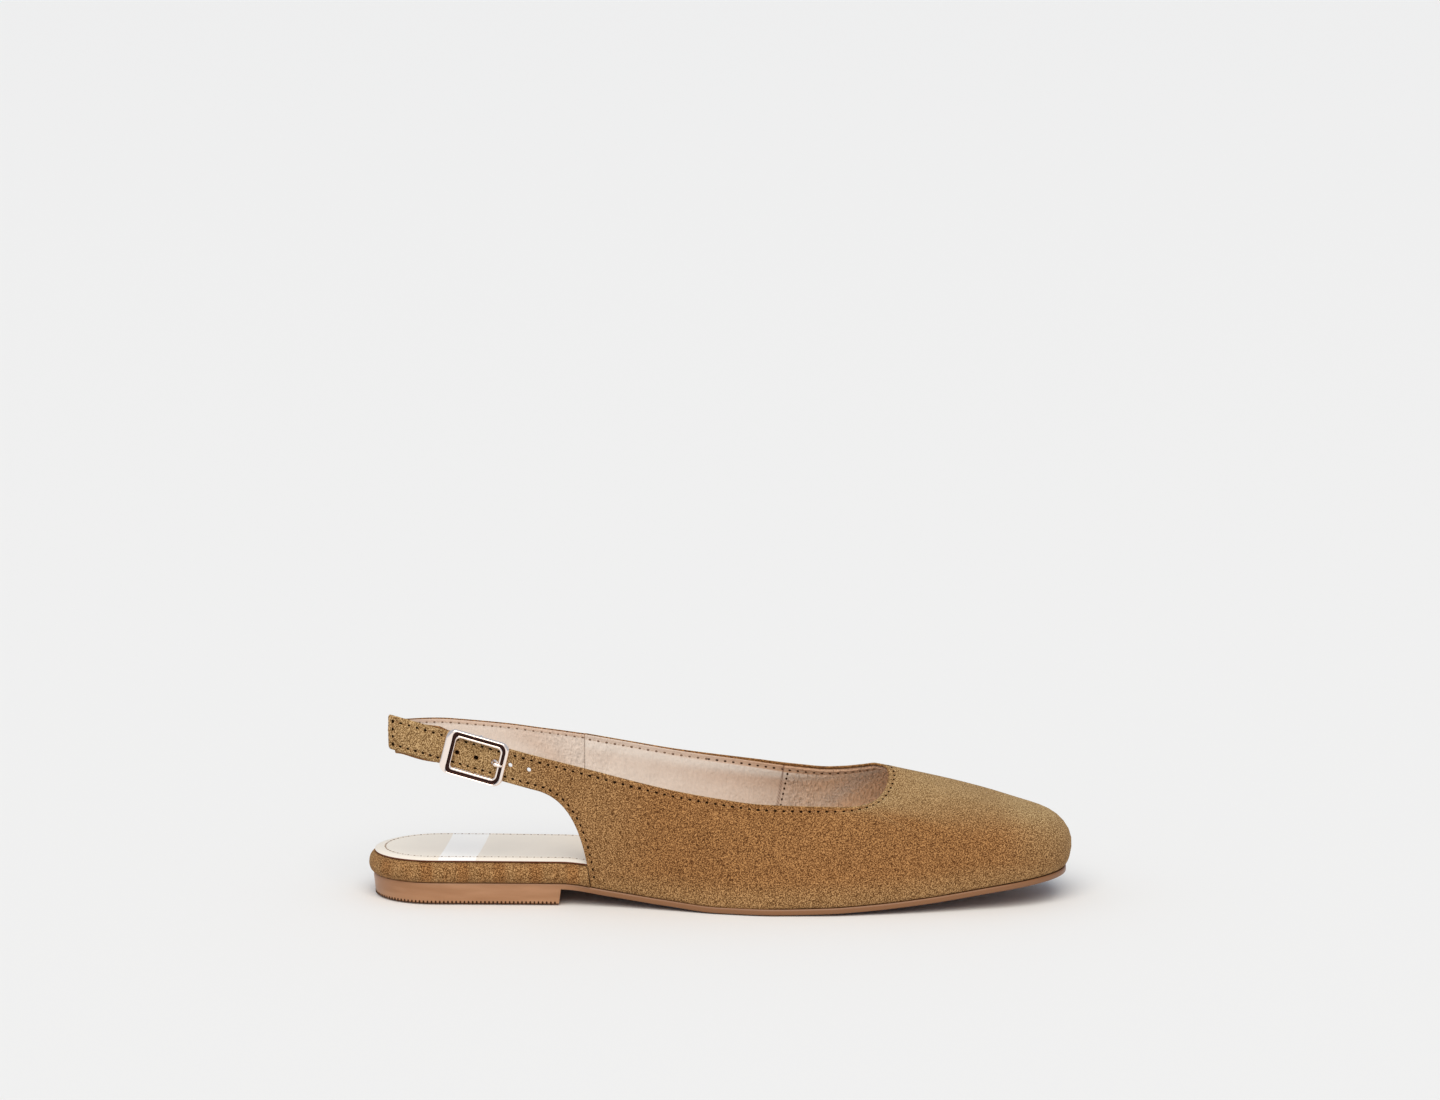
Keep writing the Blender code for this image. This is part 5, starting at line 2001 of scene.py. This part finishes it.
    def bar_piece(self) -> Piece:
        """Centre bar that dips behind the strap.

        Returns:
            The new object.
        """
        pin_out, radius = self.heel_strap.pin_out, self.heel_strap.pin_radius
        post = [(self.post_up, self.gap + self.depth / 4.0),
                (self.post_up, -self.strap.form.wall - 2 * self.gap),
                ((self.post_up + self.pin_half) / 2.0 + 0.3, pin_out + radius),
                (self.pin_half - 0.4, pin_out)]
        corners = [self.strap.point(0.0, up, out) for up, out in post]
        corners += [self.strap.point(0.0, -up, out) for up, out in post[::-1]]
        route = self.smooth_route(np.array(corners), 9)
        return self.tube("buckle_bar", route, np.full(len(route), radius))

    def prong_piece(self) -> Piece:
        """Prong: hooked on the bar, up through the third hole and over the frame.

        Returns:
            The new object.
        """
        hole, pin_out = self.prong_hole, self.heel_strap.pin_out
        hook = self.heel_strap.pin_radius + self.gap + self.prong_radius
        rest = self.gap + self.depth - self.rest_depth + self.gap + self.prong_radius
        turn = np.linspace(radians(330), radians(90), 25)
        start = self.strap.point(hook * np.cos(turn), 0.0, pin_out + hook * np.sin(turn))
        run_out = pin_out + hook
        corners = np.array((
            (0.0, run_out), (hole - 1.2, run_out), (hole - 0.1, run_out + 0.4), (hole + 0.1, rest - 1.1),
            (hole + 0.4, rest - 0.1), (hole + 1.3, rest), (self.length / 2.0 - self.prong_short, rest)))
        route = self.smooth_route(self.strap.point(corners[:, 0], 0.0, corners[:, 1]), 9)
        route = np.concatenate((start, route[1:]))
        radii = np.full(len(route), self.prong_radius)
        ends = np.array((0.25, 0.6, 0.85))
        radii[:3] *= ends
        radii[-3:] *= ends[::-1]
        return self.tube("buckle_prong_plated", route, radii)

    def rest_cutter(self) -> Piece:
        """Round channel across the frame's front bar that the prong lies in.

        Returns:
            The rod that cuts it.
        """
        radius = self.prong_radius + self.gap
        out = self.gap + self.depth - self.rest_depth + radius
        place = self.strap.matrix(self.length / 2.0 - self.bar_width - 1.3, 0.0, out)
        lying = place @ Matrix.Rotation(pi / 2, 4, "Y")
        return rods("prong_rest", 1.9 * self.bar_width, 32, [(radius, lying)])

    def build(self) -> None:
        """Makes the frame, the bar and the prong."""
        frame_piece = self.frame_piece()
        cut(frame_piece, self.rest_cutter())
        frame_piece.data.set_sharp_from_angle(angle=radians(self.sharp_deg))
        place_piece(frame_piece, Slot.FRAME, "buckle_frame")
        place_piece(self.bar_piece(), Slot.FRAME)
        place_piece(self.prong_piece(), Slot.PRONG, "buckle_prong")


class Row(NamedTuple):
    """A row round a plate: how far it lies outside the last, its height at x, and its slant along x."""

    grow: float
    height: Callable[[Array], Array]
    slant: float = 0.0


@dataclass
class Bottom:
    """What the foot stands on: moulded sole with its heel, wrapped footbed and leather sock."""

    last: Last
    upper: Upper
    beads: Beads
    breast_x: float = -58.0
    breast_slope: float = 0.8
    heel_taper: float = 0.6
    seat_end_x: float = -47.3
    seat_end_slant: float = 1.0
    step_turn: float = 0.0002
    sock_thick: float = 1.2
    sock_at_rand: float = 0.5
    sock_narrows: Pair = (-47.5, -41.5)
    sock_roll: float = 0.75
    sock_roll_width: float = 1.5
    sock_dish: float = 0.5
    dish_from_edge: Pair = (2.0, 16.0)
    seat_dips: Pair = (-40.0, -70.0)
    stitch_from_edge: float = 3.8
    rib_pitch: float = 1.5
    rib_height: float = 1.1
    seat_middle: Pair = (-95.0, 4.0)
    stitch_reach: float = 1.42
    stitch_pitch: float = 2.6
    rand_brushed: float = 0.15
    rand_patches: float = 0.3
    inside_upper: float = -2.4
    sole_edge: tuple[Pair, ...] = (
        (0.0, -1.65), (0.0, -0.7), (-0.08, -0.35), (-0.3, -0.08), (-0.8, 0.0), (-8.0, 0.0))
    sole_foot: tuple[Pair, ...] = (
        (-8.0, 0.0), (-2.4, 0.0), (-2.3, 0.36), (-0.5, 0.42), (-0.12, 0.62))
    heel_foot: tuple[Pair, ...] = (
        (-7.0, 0.0), (-2.4, 0.0), (-2.3, 0.66), (-0.4, 0.74), (-0.1, 0.96))
    seat_profile: tuple[Pair, ...] = (
        (0.2, 0.0), (1.2, 0.14), (1.7, 0.4), (1.5, 0.66), (0.6, 0.88), (-1.0, 1.0))

    @staticmethod
    def round_heel(reach: float, count: int) -> Array:
        """Turns round the heel between two places as far from its back, on both sides."""
        return np.concatenate((np.linspace(6.0 - reach, 6.0, count)[:-1], np.linspace(0.0, reach, count)))

    def sections(self, turns: Array, rows: Sequence[Row]) -> Array:
        """Closed sections of a plate, up its lateral rim and down its medial rim.

        Args:
            turns: lateral turns of the sections.
            rows: the plate's rows.

        Returns:
            A grid of points: sections by places round them.
        """
        columns = []
        for way, ordered in ((turns, rows), (6.0 - turns, rows[::-1])):
            for grow, height, slant in ordered:
                x, y = self.last.rim(way, grow)
                columns.append(np.stack((x + slant, y, height(x + slant)), axis=-1))
        return np.stack(columns, axis=1)

    def plate(self, name: str, finish: Finish, step_x: float, rows: Sequence[Sequence[Row]],
              sharp_deg: float) -> Piece:
        """Closed plate under the foot whose rim changes at a step, with ends that have closed to a line.

        Args:
            name: the piece's name.
            finish: its finish.
            step_x: station of the step.
            rows: its rows behind the step, at its back, at its front and ahead of it.
            sharp_deg: angle from which its edges are sharp.

        Returns:
            The new object.
        """
        step = self.last.turn_at(step_x)
        turns = spaced((0.0, 1.0, 2.0, 3.0), (45, 109, 63))
        stretches = (turns[turns < step - 0.004], np.array([step]), np.array([step + self.step_turn]),
                     turns[turns > step + 0.004])
        grid = np.concatenate([self.sections(*part) for part in zip(stretches, rows)])
        made = new_object(name, grid.reshape(-1, 3), ring_faces(*grid.shape[:2]), [finish], weld=True)
        made.data.set_sharp_from_angle(angle=radians(sharp_deg))
        return made

    def outsole(self) -> None:
        """Makes the moulded sole with its heel, and dark beads painted as the shade in the gaps between the
        fine ribs round the heel's foot.
        """
        last, inset = self.last, self.heel_taper
        thick = last.sole_thick
        edge = [Row(grow, partial(last.lifted, rise=thick + fall)) for grow, fall in self.sole_edge]
        thin = [Row(grow, partial(last.lifted, rise=rise)) for grow, rise in self.sole_foot] + edge
        heel, breast = (
            [Row(grow - inset, partial(np.full_like, fill_value=z), slope * (z / last.heel_rise - 1.0))
             for grow, z in self.heel_foot] + edge
            for slope in (0.0, self.breast_slope))
        sole = self.plate("outsole_moulded", RUBBER, self.breast_x, (heel, breast, thin, thin), 38.0)
        place_piece(sole, Slot.SOLE, "outsole")
        reach = last.turn_at(self.breast_x - self.breast_slope - 0.6)
        x, y = last.rim(self.round_heel(reach, 400), -inset)
        line = np.stack((x, y, np.full_like(x, self.rib_height)), axis=1)
        out = unit(np.cross(unit(np.gradient(line, axis=0)), UP))
        from_seat = line - (*self.seat_middle, self.rib_height)
        row = StitchRow(line, out * np.sign(np.sum(out * from_seat, axis=1))[:, None], self.rib_pitch)
        # Dark beads between the ribs are painted shade in the rib gaps and along the heel's contact line
        places, _, facing = row.seats(False, 0.05)
        # The ribs are drawn half as coarse again as the real ones so that they show
        gaps = self.beads.build("heel_rib_gaps", (places, np.tile(UP, (len(places), 1)), facing),
                                (1.2, 0.7, 0.3), RIB_GAP_SHADE, 0.03, 3)
        place_piece(gaps, Slot.SOLE)

    def bed_rows(self, inside: bool, slanted: bool) -> list[Row]:
        """Rows up the footbed's rim.

        Args:
            inside: whether it lies inside the upper's wall, not out on the rand.
            slanted: whether it slants as the rand's end does.

        Returns:
            The rows.
        """
        grows, shares = np.array(self.seat_profile).T
        fine = np.linspace(0.0, 1.0, 18)
        slant = self.seat_end_slant if slanted else 0.0
        return [Row(self.inside_upper if inside else grow, partial(self.last.bed_at, share=share),
                    -slant * share)
                for grow, share in zip(curve_through(shares, grows, fine), fine)]

    def footbed(self) -> None:
        """Makes the suede-wrapped footbed, whose rand shows round the heel seat."""
        kinds = ((False, False), (False, True), (True, True), (True, False))
        rows = [self.bed_rows(*kind) for kind in kinds]
        bed = self.plate("footbed_wrapped", TAN_SUEDE, self.seat_end_x, rows, 60.0)
        x, y, _ = np.array([vertex.co for vertex in bed.data.vertices]).T / MM
        up = np.array([vertex.normal.z for vertex in bed.data.vertices])
        # The rand's share: a base of painted sheen and patches of paler nap, less on its upward faces so
        # that the suede's painted sheen on them is cancelled
        patches = np.sin(x / 1.4 + np.sin(y / 3.1)) * np.sin(x / 4.1 + y / 4.3 + 1.0)
        set_attribute(bed, "brushed", self.rand_brushed + self.rand_patches * patches
                      - 0.85 * np.maximum(up, 0.0) ** 6)
        place_piece(bed, Slot.RAND, "footbed")

    @cached_property
    def sock_reach(self) -> tuple[Array, Array]:
        """Room for the sock inside the upper.

        Returns:
            Turns of the foot, and how far the lining there lies outside the last.
        """
        corner = self.upper.form.quarter_turn
        face, turns, reach = self.upper.lining_face, [], []
        for k in self.upper.columns_between(corner + 0.01, 6.0 - corner - 0.01)[::3]:
            x, y, z = face.points[k].T
            height = self.last.bed_at(x) + self.last.gap + self.sock_thick - 0.5
            i = int(np.argmax(z > height))
            side = Side.LATERAL if y[i] < 0.0 else Side.MEDIAL
            turn = float(self.upper.turns[k])
            if 2.0 < turn < 4.0:
                edge = np.array(self.last.rim(turn))
                middle = np.array((self.last.toe_x, edge[1] * 0.3))
                grow = np.linalg.norm(np.array((x[i], y[i])) - middle) - np.linalg.norm(edge - middle)
            else:
                turn = float(self.last.turn_at(x[i], side))
                grow = side.value * (y[i] - float(self.last.rim(turn)[1]))
            turns.append(turn)
            reach.append(grow - 0.12)
        order = np.argsort(turns)
        return np.array(turns)[order], np.array(reach)[order]

    def sock_grow(self, turns: Array, inset: float) -> Array:
        """How far the sock's outline lies outside the last.

        Args:
            turns: places round the outline.
            inset: distance of the outline from the sock's edge.

        Returns:
            The distance at each turn.
        """
        known, reach = self.sock_reach
        x, _ = self.last.rim(turns, -self.sock_at_rand)
        inside = smooth_step(*self.sock_narrows, x)
        return -self.sock_at_rand * (1.0 - inside) + np.interp(turns, known, reach) * inside - inset

    def sock_point(self, turns: Array, inset: float) -> Array:
        """Places on the sock's face.

        Args:
            turns: places round the outline.
            inset: distance from the sock's edge.

        Returns:
            One row for each turn.
        """
        x, y = self.last.rim(turns, self.sock_grow(turns, inset))
        top = self.last.bed_at(x) + self.last.gap + self.sock_thick
        seat = smooth_step(*self.seat_dips, x)
        rolled = self.sock_roll * hump(inset, self.sock_roll_width)
        dish = self.sock_dish * seat * smooth_step(*self.dish_from_edge, inset)
        return np.stack((x, y, top - rolled - dish), axis=-1)

    def sock(self) -> None:
        """Makes the leather sock: rings from its edge inwards, a dark cut edge and a row of stitches."""
        half_turns = spaced((0.0, 1.0, 2.0, 3.0), (59, 89, 59))
        turns = np.concatenate((half_turns, 6.0 - half_turns[-2:0:-1]))
        insets = (0.0, 0.12, 0.3, 0.6, 1.0, 1.5, 2.1, 2.8, 3.6, 4.6, 6.0, 8.0, 11.0, 15.0, 19.0)
        rings = [self.sock_point(turns, inset) for inset in insets]
        low = rings[0].copy()
        low[:, 2] -= self.sock_thick - self.sock_roll
        floor = self.sock_point(turns, insets[-1])
        floor[:, 2] = rings[-1][:, 2] - self.sock_thick + self.sock_dish
        rings = [floor, low, *rings]
        count = len(turns)
        faces = ring_faces(len(rings), count)
        edge = [count <= k < 2 * count for k in range(len(faces))]
        for base in (0, (len(rings) - 1) * count):
            for j in range(len(half_turns) - 1):
                far, near = (count - j) % count, (count - j - 1) % count
                faces.append((base + j, base + j + 1, base + near, base + far))
                edge.append(False)
        made = new_object("insole_sock", np.concatenate(rings), faces, [SOCK, SOCK_EDGE])
        made.data.polygons.foreach_set("material_index", np.array(edge, np.int32))
        with edited(made.data) as bm:
            bmesh.ops.dissolve_degenerate(bm, edges=bm.edges, dist=WELD * MM)
        place_piece(made, Slot.LINING, "insole")
        points = self.sock_point(self.round_heel(self.stitch_reach, 300), self.stitch_from_edge)
        row = StitchRow(points, np.tile(UP, (len(points), 1)), self.stitch_pitch)
        SOCK_STITCHING.build("sock", [row], self.beads, Slot.LINING)

    def build(self) -> None:
        """Makes the sole, the footbed and the sock."""
        self.outsole()
        self.footbed()
        self.sock()


@dataclass(frozen=True)
class Studio:
    """Pale floor, soft light and the camera at the photograph's angle."""

    floor_colour: str = "#EDEDED"
    floor_rings: tuple[float, ...] = (400.0, 2000.0, 20000.0, 1500000.0)
    floor_sides: int = 64
    sky_colour: str = "#E6F0FF"
    sky_strength: float = 0.565
    lamp_colour: str = "#FFF6E6"
    lamp_strength: float = 2.395
    lamp_spread_deg: float = 56.0
    lamp_turn_deg: Pair = (38.0, -3.0)
    camera_place: Triple = (0.0, -1473.7, 329.05)
    camera_pitch_deg: float = 82.23
    focal_mm: float = 101.8
    sensor_mm: float = 36.0
    sight_metres: float = 3000.0

    def floor(self) -> None:
        """Lays a flat floor out to the horizon, with close rings under the shoe."""
        angle = np.linspace(0.0, 2 * pi, self.floor_sides, endpoint=False)
        ring = np.stack((np.cos(angle), np.sin(angle), np.zeros_like(angle)), axis=1)
        points = np.concatenate([radius * ring for radius in self.floor_rings])
        faces = [tuple(range(self.floor_sides)), *ring_faces(len(self.floor_rings), self.floor_sides)]
        new_object("studio_floor", points, faces, [Finish("floor_paper", self.floor_colour, 0.9)])

    def light(self) -> None:
        """Sets even white surroundings and one broad lamp from above."""
        world = bpy.data.worlds.new("studio")
        world.use_nodes = True
        set_inputs(world.node_tree.nodes["Background"],
                   {"Color": linear(self.sky_colour), "Strength": self.sky_strength})
        bpy.context.scene.world = world
        lamp = bpy.data.lights.new("broad_lamp", "SUN")
        lamp.color = linear(self.lamp_colour)[:3]
        lamp.energy = self.lamp_strength
        lamp.angle = radians(self.lamp_spread_deg)
        along, across = self.lamp_turn_deg
        linked("broad_lamp", lamp).rotation_euler = (radians(along), radians(across), 0.0)

    def camera(self) -> None:
        """Sets the camera at the photograph's distance and height."""
        lens = bpy.data.cameras.new("camera")
        lens.lens = self.focal_mm
        lens.sensor_width = self.sensor_mm
        lens.clip_end = self.sight_metres
        view = linked("camera", lens)
        view.location = Vector(self.camera_place) * MM
        view.rotation_euler = (radians(self.camera_pitch_deg), 0.0, 0.0)
        bpy.context.scene.camera = view

    def build(self) -> None:
        """Sets up the floor, the light and the camera."""
        self.floor()
        self.light()
        self.camera()
        bpy.context.scene.view_settings.view_transform = "Standard"


def main() -> None:
    """Builds the shoe's looks in order."""
    logging.basicConfig(level=logging.INFO, format="%(name)s: %(message)s")
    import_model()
    Studio().build()
    beads = Beads()
    last = Last()
    form = UpperForm(last)
    strap = StrapFrame(form)
    upper = Upper(form, strap, beads)
    heel_strap = HeelStrap(form, strap, beads)
    for assembly in (Bottom(last, upper, beads), upper, heel_strap, Buckle(strap, heel_strap)):
        assembly.build()


if __name__ == "__main__":
    main()
